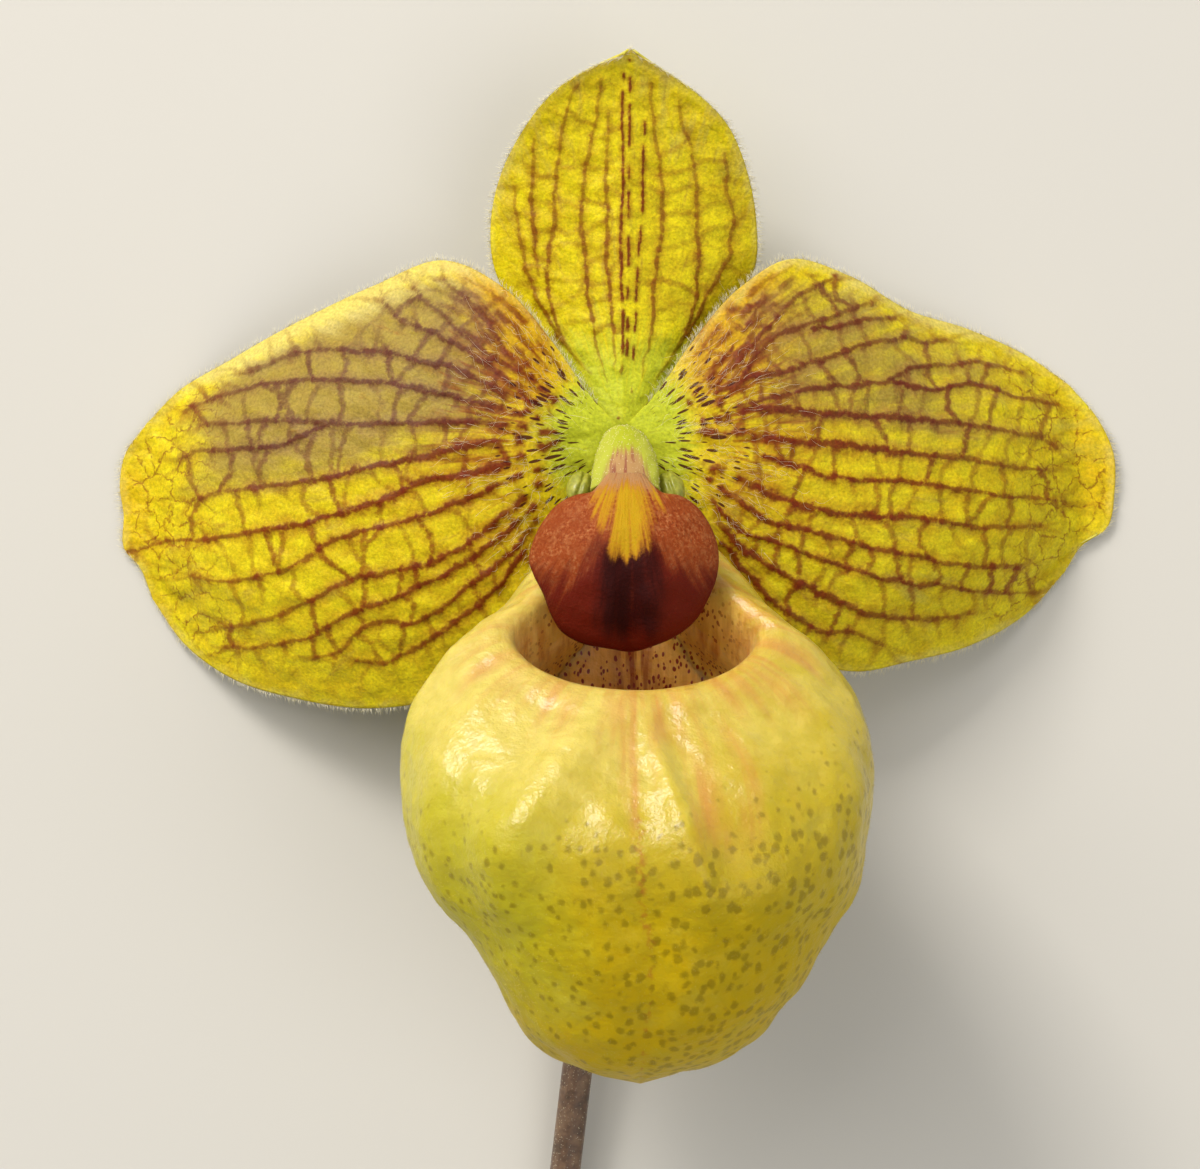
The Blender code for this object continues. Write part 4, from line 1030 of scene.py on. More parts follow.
    # The front's middle crease of fine orange-red grains
    stripe = add(tree, "Math", {0: specks.outputs[0], 1: 2.6, 2: -1.6}, operation="MULTIPLY_ADD")
    stripe = add(tree, "Math", {0: middle, 1: stripe}, operation="ADD")
    stripe = add(tree, "MapRange", {"Value": stripe, "From Min": 0.1, "From Max": 0.9, "To Max": 0.5},
                 interpolation_type="SMOOTHSTEP")
    colour = add(tree, "Mix", {"Factor": stripe, "A": colour, "B": "#a8541c"})

    # Inside the mouth: pale buff with brown streaks, and red-brown dots about 0.3 mm wide on the back wall.
    # Its pale ground carries painted light, lighter than the tissue, for the light that comes in through the
    # wall
    mouth = add(tree, "Math", {0: mouth, 1: behind}, operation="MAXIMUM")
    hang = add(tree, "VectorMath", {0: place, 1: (scale_of(0.8), scale_of(9.0), scale_of(9.0))},
               operation="MULTIPLY")
    veins = add(tree, "TexNoise", {"Vector": hang, "Scale": 1.0, "Detail": 3.0, "Roughness": 0.6})
    brown = add(tree, "MapRange",
                {"Value": veins.outputs[0], "From Min": 0.42, "From Max": 0.62, "To Max": 0.85})
    inside = add(tree, "Mix", {"Factor": brown, "A": settings.inside, "B": "#b8702a"})
    # The back wall's pale gold also carries painted light, lighter than the tissue
    wall = add(tree, "Mix", {"Factor": add(tree, "Math", {0: brown, 1: 0.45},
                                           operation="MULTIPLY").outputs[0],
                             "A": "#f0be58", "B": "#b0702a"})
    inside = add(tree, "Mix", {"Factor": heel, "A": inside, "B": wall})
    line = add(tree, "MapRange", {"Value": veins.outputs[0], "From Min": 0.36, "From Max": 0.56})
    line = add(tree, "Math", {0: line, 1: back_line}, operation="MULTIPLY")
    inside = add(tree, "Mix", {"Factor": line, "A": inside, "B": "#a04e12"})
    drawn = add(tree, "VectorMath", {0: shaken, 1: (1.0, 0.6, 0.6)}, operation="MULTIPLY")
    seeds = add(tree, "TexVoronoi", {"Vector": drawn, "Scale": scale_of(0.5), "Randomness": 1.0})
    seed = add(tree, "MapRange", {"Value": seeds.outputs["Distance"], "From Min": 0.36, "From Max": 0.26},
               interpolation_type="SMOOTHSTEP")
    seed = add(tree, "Math", {0: seed, 1: heel}, operation="MULTIPLY")
    inside = add(tree, "Mix", {"Factor": seed, "A": inside, "B": "#8a2808"})
    colour = add(tree, "Mix", {"Factor": mouth, "A": colour, "B": inside})

    # The cuticle is glossiest on the upper belly, and its highlights break over the crepe
    rough = add(tree, "MapRange",
                {"Value": blotch.outputs[0], "From Min": 0.3, "From Max": 0.7, "To Min": 0.34,
                 "To Max": 0.5})
    gloss = add(tree, "MapRange", {"Value": low, "From Max": 0.5, "To Min": 1.0, "To Max": 0.04})
    height = add(tree, "Math", {0: cells.outputs[0], 1: 0.2, 2: crepe.outputs[0]}, operation="MULTIPLY_ADD")
    bump = add(tree, "Bump", {"Height": height, "Strength": 1.0, "Distance": 0.24 * MM})
    film = add(tree, "Bump", {"Height": height, "Strength": 1.0, "Distance": 0.22 * MM})
    feed(tree, shader.inputs, {"Base Color": colour, "Roughness": rough, "Normal": bump, "Coat Weight": gloss,
                               "Coat Normal": film})
    return material


def pouch_throat(rings, angle, wall):
    """Rings that run on from the rim's inner edge as side walls, which bend inward and meet the back wall.

    At the front they only run down a little. Comes with each ring's share of the way, 1 at the far end.
    """
    edge, onward = rings[0], unit(rings[0] - rings[1])
    back = rings[12:110, np.cos(angle[0]) < -0.2].reshape(-1, 3)
    goal = np.column_stack([MOUTH_MIDDLE_X + (edge[:, 0] - MOUTH_MIDDLE_X) * 0.6, edge[:, 1] - 1.0])
    nearest = np.argmin(((goal[:, None] - back[None, :, :2]) ** 2).sum(-1), axis=1)
    goal = np.column_stack([goal, back[nearest, 2] + wall - 0.12])
    bend = np.column_stack([MOUTH_MIDDLE_X + (edge[:, 0] - MOUTH_MIDDLE_X) * 0.84, edge[:, 1] - 0.6,
                            goal[:, 2] + 0.9])
    inward = ease(np.cos(angle[0]), 0.92, 0.6)[:, None]
    t = np.linspace(1, 0, 23)[:-1, None, None]
    sides = edge * (1 - t)**3 + 3 * (edge + onward * 2.2) * t * (1 - t)**2
    sides = sides + 3 * bend * t**2 * (1 - t) + goal * t**3
    return (edge + onward * 1.6 * t) * (1 - inward) + sides * inward, t[:, :, 0]


def pouch_relief(rings, u, angle, turn, share):
    """How far the skin stands out: soft ridges, then pleats, dents and a fine crinkle."""
    ridge = 0
    for start, drift, width, height in POUCH_RIDGES:
        ridge = ridge + height * np.exp(-(((turn - start - drift * u) / width) ** 2))
    ridge = ridge * ease(u, 1.0, 2.0) * ease(u, 6.2, 3.2)
    fold = ripple(np.stack([np.cos(angle) * 10, np.sin(angle) * 10, u * 0.8], -1), 1.5, 34, 24)
    pleat = 0.2 * fold * ease(u, 0.6, 1.4) * ease(u, 5.0, 2.0)
    dent = 0.3 * ripple(rings, 6.5, 31) * ease(u, 1.2, 2.4)
    dent = dent + 0.1 * ripple(rings, 2.2, 32, 30) * ease(u, 0.5, 1.5)
    crinkle = 0.06 * ripple(rings, 1.1, 35, 40) * ease(u, 0.5, 1.5) * ease(share, 1.2, 0.3)
    return ridge + pleat + dent + crinkle - 0.3 * ease(u, 0.4, 1.4)


def pouch_fields(rings, u, angle, turn, share):
    """Where the pouch's colours and marks lie."""
    front, side = np.cos(angle), np.sin(angle)
    down = np.cumsum(np.linalg.norm(np.diff(rings, axis=0, prepend=rings[:1]), axis=-1), axis=0)
    blush = 0.6 * ease(u, 0.2, 0.9) * ease(u, 2.4, 1.1) * (0.6 + 0.4 * ease(side, -0.6, 0.4))
    for place, width, first, last, most in POUCH_STREAKS:
        streak = most * np.exp(-(((turn - place) / width) ** 2)) * ease(u, first - 0.6, first)
        blush = np.maximum(blush, streak * ease(u, last, first + 1.2))
    spots = (0.68 + 0.32 * ease(side, -0.7, 0.3)) * ease(share, 0.14 - 0.08 * side, 0.42)
    return dict(
        blush=blush, mouth=ease(u, 1.0, 0.3),
        middle=np.exp(-((side / 0.03) ** 2)) * (front > 0) * ease(u, 2.0, 3.4) * (1 - 0.5 * share),
        low=ease(share, 0.2, 0.9), left=ease(side, 0.0, -0.8) * ease(share, 1.0, 0.5),
        spots=spots * ease(front, -0.99, -0.95),
        # The pale upper part, partly a painted highlight, strongest on the left
        cream=ease(share, 0.4, 0.06) * (0.45 + 0.55 * ease(side, 0.5, -0.5)),
        heel=ease(front, 0.2, -0.3) * (u > 0) + ease(u, -0.25, -0.6) * (u < 0),
        back_line=0.9 * np.exp(-((side / 0.1) ** 2)) * (front < 0), around=turn * 20, down=down)


class ORCHID_OT_pouch(bpy.types.Operator):
    """Build the waxy pouch with its rolled rim"""
    bl_idname = "orchid.pouch"
    bl_label = "Pouch"

    def execute(self, context):
        look = context.scene.orchid_pouch
        wall = look.wall / MM
        rings, u, angle = pouch_rings(*POUCH_GRID)
        throat, far = pouch_throat(rings, angle, wall)
        rings = np.concatenate([throat, rings])
        u = np.concatenate([-far + 0 * u[:1], u])
        angle = np.concatenate([np.repeat(angle[:1], len(throat), 0), angle])
        turn = np.mod(angle + math.pi, 2 * math.pi) - math.pi
        share = np.clip((u - 1) / (u.max() - 1), 0, 1)
        relief = pouch_relief(rings, u, angle, turn, share)
        rings = rings + sheet_normals(rings, wrap=True) * relief[..., None]
        thick = wall * (1 - 0.5 * ease(u, 0.5, 0.0))
        two_sided("pouch_skin", rings, thick, pouch_material(look), "pouch", "pouch", wrap=True,
                  pole=POUCH_TOE, **pouch_fields(rings, u, angle, turn, share))
        SKINS["pouch"] = rings
        return {"FINISHED"}


def shield_height(x, y):
    across = (x - SHIELD_MIDDLE[0]) / SHIELD_HALF_SIZE[0]
    up = (y - SHIELD_MIDDLE[1]) / SHIELD_HALF_SIZE[1]
    dome = SHIELD_DOME * (1 - np.clip(across**2 + up**2, 0, 1.4))
    fold = SHIELD_FOLD * np.exp(-((across / 0.14) ** 2)) * np.clip(0.35 - up, 0, 1) ** 0.8
    return SHIELD_LIFT - up + dome - fold


def shield_material(settings):
    """The staminode's velvety cushion: densely packed papillae full of red pigment over a yellow ground.

    The papillae make its sides granular and matte with pale grains, and their rows fan out and down from its
    neck, so every border between colours is streaked. The dark fold in its lower half drinks light.
    """
    material, tree, shader, place = start_material("velvety_shield", {
        "IOR": 1.46, "Subsurface Weight": 0.15, "Subsurface Radius": (1.0, 0.3, 0.1),
        "Subsurface Scale": 0.0006, "Specular IOR Level": 0.12})
    dark, splash, rim, neck, core = fields_of(tree, "dark", "splash", "rim", "neck", "core")
    fan, reach = fields_of(tree, "fan", "reach")
    grains = add(tree, "TexNoise",
                 {"Vector": place, "Scale": scale_of(0.32), "Detail": 3.0, "Roughness": 0.65})
    blotch = add(tree, "TexNoise", {"Vector": place, "Scale": scale_of(1.7), "Detail": 3.0})
    ray = add(tree, "CombineXYZ", {"X": fan, "Y": reach})
    rays = add(tree, "TexNoise", {"Vector": ray, "Scale": 1.0, "Detail": 4.0, "Roughness": 0.62},
               noise_dimensions="2D")
    colour = add(tree, "ValToRGB", {0: grains.outputs[0]},
                 stops=[(0.3, "#762a0c"), (0.46, "#8a3c14"), (0.56, "#9a4e24"), (0.7, "#b27448")])
    patches = add(tree, "MapRange",
                  {"Value": blotch.outputs[0], "From Min": 0.4, "From Max": 0.62, "To Max": 0.8})
    colour = add(tree, "Mix", {"Factor": patches, "A": colour, "B": settings.brick})
    dust = add(tree, "TexNoise", {"Vector": place, "Scale": scale_of(0.9), "Detail": 4.0, "Roughness": 0.7})
    dust = add(tree, "MapRange", {"Value": dust.outputs[0], "From Min": 0.5, "From Max": 0.66, "To Max": 0.5})
    colour = add(tree, "Mix", {"Factor": dust, "A": colour, "B": "#a8683c"})
    fingers = add(tree, "TexNoise", {"Vector": ray, "Scale": 0.42, "Detail": 1.0}, noise_dimensions="2D")
    streak = add(tree, "Math", {0: rays.outputs[0], 1: 0.7, 2: fingers.outputs[0]}, operation="MULTIPLY_ADD")
    streak = add(tree, "Math", {0: grains.outputs[0], 1: 0.5, 2: streak}, operation="MULTIPLY_ADD")
    streak = add(tree, "Math", {0: streak, 1: -1.1}, operation="ADD")
    for field, shade, fringe, width in (
            (rim, "#7a2412", 0.6, 0.8), (dark, "#5c1004", 1.0, 0.7), (core, settings.dark, 0.8, 1.1),
            (neck, "#b08458", 1.6, 0.8), (splash, "#b0641a", 1.6, 0.9), (splash, settings.splash, 1.3, 1.0)):
        spread = add(tree, "Math", {0: streak, 1: fringe, 2: field}, operation="MULTIPLY_ADD")
        centre = 0.62 if shade == settings.splash else 0.42
        amount = add(tree, "MapRange",
                     {"Value": spread, "From Min": centre - width / 2, "From Max": centre + width / 2,
                      "To Max": 0.95}, interpolation_type="SMOOTHSTEP")
        inside = add(tree, "MapRange", {"Value": field, "From Max": 0.25})
        amount = add(tree, "Math", {0: amount, 1: inside}, operation="MULTIPLY")
        colour = add(tree, "Mix", {"Factor": amount, "A": colour, "B": shade})
    rough = add(tree, "MapRange",
                {"Value": grains.outputs[0], "From Min": 0.3, "From Max": 0.7, "To Min": 0.5,
                 "To Max": 0.7})
    height = add(tree, "Math", {0: rays.outputs[0], 1: 0.8, 2: grains.outputs[0]}, operation="MULTIPLY_ADD")
    bump = add(tree, "Bump", {"Height": height, "Strength": 0.9, "Distance": 0.15 * MM})
    feed(tree, shader.inputs, {"Base Color": colour, "Roughness": rough, "Normal": bump})
    return material


class ORCHID_OT_shield(bpy.types.Operator):
    """Build the shield in front of the column"""
    bl_idname = "orchid.shield"
    bl_label = "Shield"

    def execute(self, context):
        edge = curve_through(SHIELD_OUTLINE + SHIELD_OUTLINE[:1], 241)[:0:-1]
        share = np.concatenate([np.linspace(1, 0.85, 14)[:-1], np.linspace(0.85, 0, 66)[:-1]])[:, None, None]
        plan = SHIELD_MIDDLE + (edge[None] - SHIELD_MIDDLE) * share
        x, y = plan[..., 0], plan[..., 1]
        roll = np.clip((share[..., 0] - 0.86) / 0.14, 0, 1)
        height = shield_height(x, y) - 0.6 * (1 - np.sqrt(np.maximum(1 - roll**2, 0)))
        rows = np.dstack([plan, height])
        aside, below = x - SHIELD_NECK[0], SHIELD_NECK[1] - y
        across, up = aside / SHIELD_HALF_SIZE[0], (y - SHIELD_MIDDLE[1]) / SHIELD_HALF_SIZE[1]
        rows[..., 2] += 0.1 * ripple(rows[..., :2], 1.6, 52) * ease(share[..., 0], 1, 0.9)
        rows[..., 2] -= 1.6 * ease(up, 0.78, 1.05)
        bound = 0.34 - 0.42 * ease(np.abs(across), 0.15, 0.55) - 0.12 * across**2
        wide = np.interp(up, (-0.1, 0.1, 0.3, 0.5, 0.75, 0.95), (0.14, 0.22, 0.28, 0.38, 0.42, 0.2))
        pole = (*SHIELD_MIDDLE, float(shield_height(*SHIELD_MIDDLE)))
        fields = dict(
            fan=np.arctan2(aside, below) * 26, reach=np.hypot(aside, below) * 0.22,
            dark=np.clip(0.5 + (bound - up) / 0.55, 0, 1),
            core=ease(np.abs(across), 0.5, 0.06) * ease(up, 0.34, 0.05) * ease(up, -1.0, -0.6),
            splash=np.clip(1.15 - np.abs(across) / wide, 0, 1) * ease(up, -0.08, 0.14) * ease(up, 1.0, 0.72),
            rim=ease(share[..., 0] + 0 * across, 0.93, 0.99) * ease(up, 0.2, -0.5),
            neck=ease(up, 0.62, 0.86) * ease(np.abs(across), 0.5, 0.15))
        two_sided("shield", rows, 1.0 + 0 * across, shield_material(context.scene.orchid_shield), "staminode",
                  "staminode", wrap=True, pole=pole, **fields)
        return {"FINISHED"}


def tube_rings(line, radius_at, sides, slant=0.0):
    """Rings round a line. radius_at gives the radius at a share of its length, slant cuts its start askew."""
    line = np.asarray(line, float)
    tangents = unit(np.gradient(line, axis=0))
    across = np.array([1.0, 0.0, 0.0])
    angle = np.linspace(0, 2 * math.pi, sides, endpoint=False)
    rings = []
    for i, (point, tangent) in enumerate(zip(line, tangents)):
        across = unit(across - tangent * np.dot(across, tangent))
        up = np.cross(across, tangent)
        radius = radius_at(i / (len(line) - 1), angle)
        ring = point + np.outer(radius * np.cos(angle), across) + np.outer(radius * np.sin(angle), up)
        rings.append(ring + np.outer(slant * radius * np.sin(angle), tangent) if i == 0 else ring)
    return np.array(rings)


def tube_piece(name, rings, material, node, slot, **fields):
    """A closed tube through rings, its ends capped with smaller rings so that their edges stay round."""
    ends = [[ring.mean(0) + (ring - ring.mean(0)) * k for k in TUBE_CAP] for ring in (rings[0], rings[-1])]
    rows = np.concatenate([ends[0][::-1], rings, ends[1]])
    count, width = rows.shape[:2]
    faces = grid_faces(count, width, 0, True, True)
    values = {}
    for key, field in fields.items():
        values[key] = np.concatenate([np.repeat(field[:1], len(TUBE_CAP), 0), field,
                                      np.repeat(field[-1:], len(TUBE_CAP), 0)])
    last = (count - 1) * width + np.arange(width)
    faces = faces.tolist() + [list(range(width)), last[::-1].tolist()]
    return piece(name, rows.reshape(-1, 3), faces, material, node, slot, **values)


def plain_tissue(name, colours, scale_mm, sockets, bump_mm=0.1, grain_mm=0.4):
    """Soft plant tissue whose colours drift in patches, with a fine cell grain."""
    material, tree, shader, place = start_material(name, sockets)
    patches = add(tree, "TexNoise",
                  {"Vector": place, "Scale": scale_of(scale_mm), "Detail": 4.0, "Roughness": 0.6})
    cells = add(tree, "TexNoise", {"Vector": place, "Scale": scale_of(grain_mm), "Detail": 2.0})
    colour = add(tree, "ValToRGB", {0: patches.outputs[0]}, stops=colours)
    grain = add(tree, "MapRange",
                {"Value": cells.outputs[0], "From Min": 0.25, "From Max": 0.75, "To Min": 0.8,
                 "To Max": 1.15})
    colour = add(tree, "VectorMath", {0: colour, "Scale": grain}, operation="SCALE")
    rough = add(tree, "MapRange",
                {"Value": patches.outputs[0], "From Min": 0.3, "From Max": 0.7, "To Min": 0.42,
                 "To Max": 0.62})
    bump = add(tree, "Bump", {"Height": cells.outputs[0], "Strength": 0.6, "Distance": bump_mm * MM})
    feed(tree, shader.inputs, {"Base Color": colour, "Roughness": rough, "Normal": bump})
    return material


def column_material():
    """The column's hood: pale lime succulent tissue that glows, with purple-brown streaks on its ridge."""
    material, tree, shader, place = start_material("pale_hood", {
        "IOR": 1.45, "Subsurface Weight": 0.4, "Subsurface Radius": (1.0, 0.9, 0.4),
        "Subsurface Scale": 0.001, "Specular IOR Level": 0.15})
    ridge, pale, across, along = fields_of(tree, "ridge", "pale", "across", "along")
    cells = add(tree, "TexNoise", {"Vector": place, "Scale": scale_of(0.45), "Detail": 2.0})
    run = add(tree, "CombineXYZ", {"X": across, "Y": along})
    rays = add(tree, "TexNoise", {"Vector": run, "Scale": 1.0, "Detail": 3.0, "Roughness": 0.6},
               noise_dimensions="2D")
    colour = add(tree, "Mix", {"Factor": pale, "A": "#aab02a", "B": "#b0b440"})
    blush = add(tree, "Math", {0: rays.outputs[0], 1: 0.8, 2: -0.4}, operation="MULTIPLY_ADD")
    blush = add(tree, "Math", {0: blush, 1: ridge}, operation="ADD")
    blush = add(tree, "MapRange", {"Value": blush, "From Min": 0.1, "From Max": 0.8},
                interpolation_type="SMOOTHSTEP")
    colour = add(tree, "Mix", {"Factor": blush, "A": colour, "B": "#b08a5a"})
    line = add(tree, "MapRange",
               {"Value": rays.outputs[0], "From Min": 0.48, "From Max": 0.58, "To Max": 0.8},
               interpolation_type="SMOOTHSTEP")
    line = add(tree, "Math", {0: line, 1: ridge}, operation="MULTIPLY")
    colour = add(tree, "Mix", {"Factor": line, "A": colour, "B": "#8a4838"})
    rough = add(tree, "MapRange", {"Value": cells.outputs[0], "To Min": 0.45, "To Max": 0.65})
    bump = add(tree, "Bump", {"Height": cells.outputs[0], "Strength": 0.6, "Distance": 0.1 * MM})
    feed(tree, shader.inputs, {"Base Color": colour, "Roughness": rough, "Normal": bump})
    return material


def egg_piece(name, centre, radii, turn, material, node, slot, seed, groove=0.0):
    """A small swollen body, tipped and turned by two angles in degrees, grooved along and slightly uneven."""
    polar = np.linspace(0.001, math.pi - 0.001, 41)[:, None]
    round_ = np.linspace(0, 2 * math.pi, 64, endpoint=False)[None, :]
    form = np.dstack([np.sin(polar) * np.cos(round_), np.sin(polar) * np.sin(round_),
                      np.cos(polar) + 0 * round_])
    form = form * (0.97 + 0.03 * ripple(form, 0.5, seed))[..., None]
    form[..., 2] -= groove * np.exp(-((form[..., 0] / 0.16) ** 2)) * np.sign(form[..., 2]).clip(0)
    points = form * np.array(radii)
    ax, az = (math.radians(a) for a in turn)
    tip = np.array([[1, 0, 0], [0, math.cos(ax), -math.sin(ax)], [0, math.sin(ax), math.cos(ax)]])
    yaw = np.array([[math.cos(az), -math.sin(az), 0], [math.sin(az), math.cos(az), 0], [0, 0, 1]])
    points = points @ (yaw @ tip).T + np.array(centre)
    count, width = points.shape[:2]
    faces = grid_faces(count, width, 0, True, False).tolist()
    last = (count - 1) * width + np.arange(width)
    faces += [list(range(width))[::-1], last.tolist()]
    return piece(name, points.reshape(-1, 3), faces, material, node, slot)


class ORCHID_OT_column(bpy.types.Operator):
    """Build the column with its stigma and pollen masses"""
    bl_idname = "orchid.column"
    bl_label = "Column"

    def execute(self, context):
        def radius(share, angle):
            wide = 2.0 + 1.9 * share - 0.4 * share**3
            deep = 2.2 - 0.6 * share
            return 1 / np.sqrt((np.cos(angle) / wide) ** 2 + (np.sin(angle) / deep) ** 2)

        rings = tube_rings(curve_through(COLUMN_LINE, COLUMN_GRID[0]), radius, COLUMN_GRID[1])
        middle = rings.mean(1, keepdims=True)
        relief = 0.05 * ripple(rings, 0.9, 61) - 0.02
        rings = middle + (rings - middle) * (1 + relief[..., None] * 0.6)
        share = np.linspace(0, 1, COLUMN_GRID[0])[:, None] + 0 * rings[..., 0]
        x = rings[..., 0] - 0.4
        cone = 0.5 + 2.0 * share**2
        fields = dict(
            ridge=ease(np.abs(x), cone * 1.3, cone * 0.6) * ease(share, 0.52, 0.85),
            pale=ease(np.abs(x), 0.5, 2.2), across=x / (0.2 + 0.28 * share), along=share * 3)
        tube_piece("column_hood", rings, column_material(), "column", "column", **fields)
        SKINS["column"] = rings
        # A moist receptive pad and waxy pollen masses: smooth, soft-glossy and a little translucent
        pad = plain_tissue("moist_stigma", [(0.35, "#a9a648"), (0.65, "#cbc888")], 1.5, {
            "IOR": 1.4, "Subsurface Weight": 0.3, "Subsurface Radius": (1.0, 0.8, 0.4),
            "Subsurface Scale": 0.0008, "Coat Weight": 0.6, "Coat Roughness": 0.12}, 0.05)
        pollen = plain_tissue("waxy_pollen", [(0.35, "#8a8c20"), (0.65, "#a2a236")], 0.8, {
            "IOR": 1.46, "Subsurface Weight": 0.2, "Subsurface Radius": (1.0, 0.6, 0.2),
            "Subsurface Scale": 0.0005, "Coat Weight": 0.4, "Coat Roughness": 0.25}, 0.06)
        egg_piece("stigma_pad", (0.3, -7.2, 5.0), (2.6, 2.1, 1.1), (-52, 0), pad, "stigma", "stigma", 63)
        for name, side in (("anther_left", -1), ("anther_right", 1)):
            egg_piece(name + "_pollen", (0.3 + side * 4.5, -5.0, 5.7), (1.4, 2.0, 1.4), (-40, side * 18),
                      pollen, name, "pollen", 64 + side, 0.18)
        return {"FINISHED"}


def stem_line(count):
    share = np.linspace(1, 0, 6)
    x = STEM_BEND[0] - STEM_LEAN * STEM_LENGTH * share**1.1
    y = STEM_BEND[1] - STEM_LENGTH * share
    z = STEM_BEND[2] + (STEM_LYING - STEM_BEND[2]) * np.sin(share * math.pi / 2)
    return curve_through(np.column_stack([x, y, z]), count) - np.array([0, STEM_GAP, 0])


def stem_radius(share, angle):
    collar = 0.35 * max(0.0, (share - 0.9) / 0.1) ** 2
    return (STEM_RADIUS + collar) * (1 + 0.03 * np.cos(5 * angle + 6 * share))


def ovary_radius(share, angle):
    swell = 0.85 + 0.28 * math.sin(math.pi * share) + 0.2 * max(0.0, share - 0.86) / 0.14
    return OVARY_RADIUS * swell * (1 + 0.07 * np.cos(3 * angle) + 0.06 * np.cos(6 * angle))


class ORCHID_OT_stalk(bpy.types.Operator):
    """Build the stem, the ribbed ovary and the sheathing bract"""
    bl_idname = "orchid.stalk"
    bl_label = "Stem, ovary and bract"

    def execute(self, context):
        soft = {"IOR": 1.45, "Subsurface Weight": 0.1, "Subsurface Radius": (1.0, 0.6, 0.3),
                "Subsurface Scale": 0.0006, "Sheen Weight": 0.25, "Sheen Roughness": 0.5}
        # A flower stem is green under a brown-pink skin, matte and downy
        bark = plain_tissue("downy_stem", [(0.3, "#3c2a18"), (0.5, "#5e4430"), (0.7, "#7c6248")], 2.2, soft,
                            0.12)
        green = plain_tissue("ribbed_ovary", [(0.3, "#4c4a1c"), (0.5, "#75702f"), (0.7, "#8d6a45")], 2.5,
                             soft, 0.12)
        leaf = plain_tissue("sheath_leaf", [(0.32, "#5d7a2c"), (0.55, "#7d9440"), (0.72, "#8d7a4c")], 3.0,
                            soft, 0.08)
        rings = tube_rings(stem_line(300), stem_radius, 48, 0.6)
        rings[..., 2] = np.maximum(rings[..., 2] + 0.04 * ripple(rings, 1.2, 71), -CENTRE[2] + 0.02)
        tube_piece("stem_body", rings, bark, "stem", "stem")
        SKINS["stem"] = rings
        rings = tube_rings(curve_through(OVARY_LINE, 90), ovary_radius, 72)
        tube_piece("ovary_body", rings, green, "ovary", "ovary")
        SKINS["ovary"] = rings
        # The bract is a sheath round the ovary's lower part, open below and drawn out to a blunt tip
        line = curve_through(curve_through(OVARY_LINE, 60)[2:40:3], 70)
        tangents = unit(np.gradient(line, axis=0))
        rows = []
        for share, point, tangent in zip(np.linspace(0, 1, len(line)), line, tangents):
            up = np.cross((1.0, 0.0, 0.0), tangent)
            half = math.radians(150 - 50 * share - 95 * share**3)
            angle = np.linspace(-half, half, BRACT_SIDES)
            radius = BRACT_RADIUS + BRACT_FLARE * share**1.5
            round_it = np.outer(np.sin(angle), (1.0, 0.0, 0.0)) - np.outer(np.cos(angle), up)
            rows.append(point + radius * round_it)
        rows = np.array(rows)
        across = np.abs(np.linspace(-1, 1, BRACT_SIDES))[None, :]
        thick = 0.7 - 0.4 * ease(across, 0.8, 1.0) + 0 * rows[..., 0]
        two_sided("bract_leaf", rows, thick, leaf, "bract", "bract")
        SKINS["bract"] = rows
        return {"FINISHED"}


def scattered(rows, count, rng, wrap):
    """Random places on a grid skin, with their outward directions, spread evenly over its area."""
    normal = sheet_normals(rows, wrap)
    along = np.linalg.norm(np.diff(rows, axis=0), axis=-1)
    across = np.linalg.norm(np.diff(rows, axis=1, append=rows[:, :1] if wrap else rows[:, -1:]), axis=-1)[:-1]
    area = (along * across).ravel()
    pick = rng.choice(len(area), count, p=area / area.sum())
    i, j = np.divmod(pick, rows.shape[1])
    k = (j + 1) % rows.shape[1] if wrap else np.minimum(j + 1, rows.shape[1] - 1)
    a, b = rng.random((2, count, 1))
    near, far = (rows[i, col] * (1 - a) + rows[i + 1, col] * a for col in (j, k))
    place = near * (1 - b) + far * b
    return place, normal[i, j]


def hair_material(name, shaded, bright):
    """Plant hairs are clear cell threads: pale, thin-walled and shining where light comes from behind."""
    material, tree, shader, place = start_material(name, {
        "Roughness": 0.4, "IOR": 1.45, "Specular IOR Level": 0.25, "Subsurface Weight": 0.4,
        "Subsurface Radius": (1.0, 0.9, 0.6), "Subsurface Scale": 0.0003})
    drift = add(tree, "TexNoise", {"Vector": place, "Scale": scale_of(3.0)})
    colour = add(tree, "Mix", {"Factor": drift.outputs[0], "A": shaded, "B": bright})
    feed(tree, shader.inputs, {"Base Color": colour})
    return material


def grow_fringe(name, slot, first, per_mm, length, radius, material):
    """Short hairs that stand out from a blade's margin, past its first rows at the base."""
    rng = np.random.default_rng(len(name) * 7 + 1)
    rows = SKINS[name]
    margin = np.concatenate([rows[first:, 0], rows[-1, 1:-1], rows[:first:-1, -1]])
    inner = np.concatenate([rows[first:, 5], rows[-6, 1:-1], rows[:first:-1, -6]])
    run = np.concatenate([[0], np.cumsum(np.linalg.norm(np.diff(margin, axis=0), axis=1))])
    at = np.sort(rng.uniform(0, run[-1], int(run[-1] * per_mm)))
    root, within = (np.stack([np.interp(at, run, line[:, k]) for k in range(3)], -1)
                    for line in (margin, inner))
    out = unit(root - within) + np.array([0, 0, 0.3]) + rng.normal(0, 0.22, (len(at), 3))
    hair_coat(name + "_fringe", root - [0, 0, 0.08], out, np.full(len(at), length), radius, material, slot,
              0.12, 2, 81)


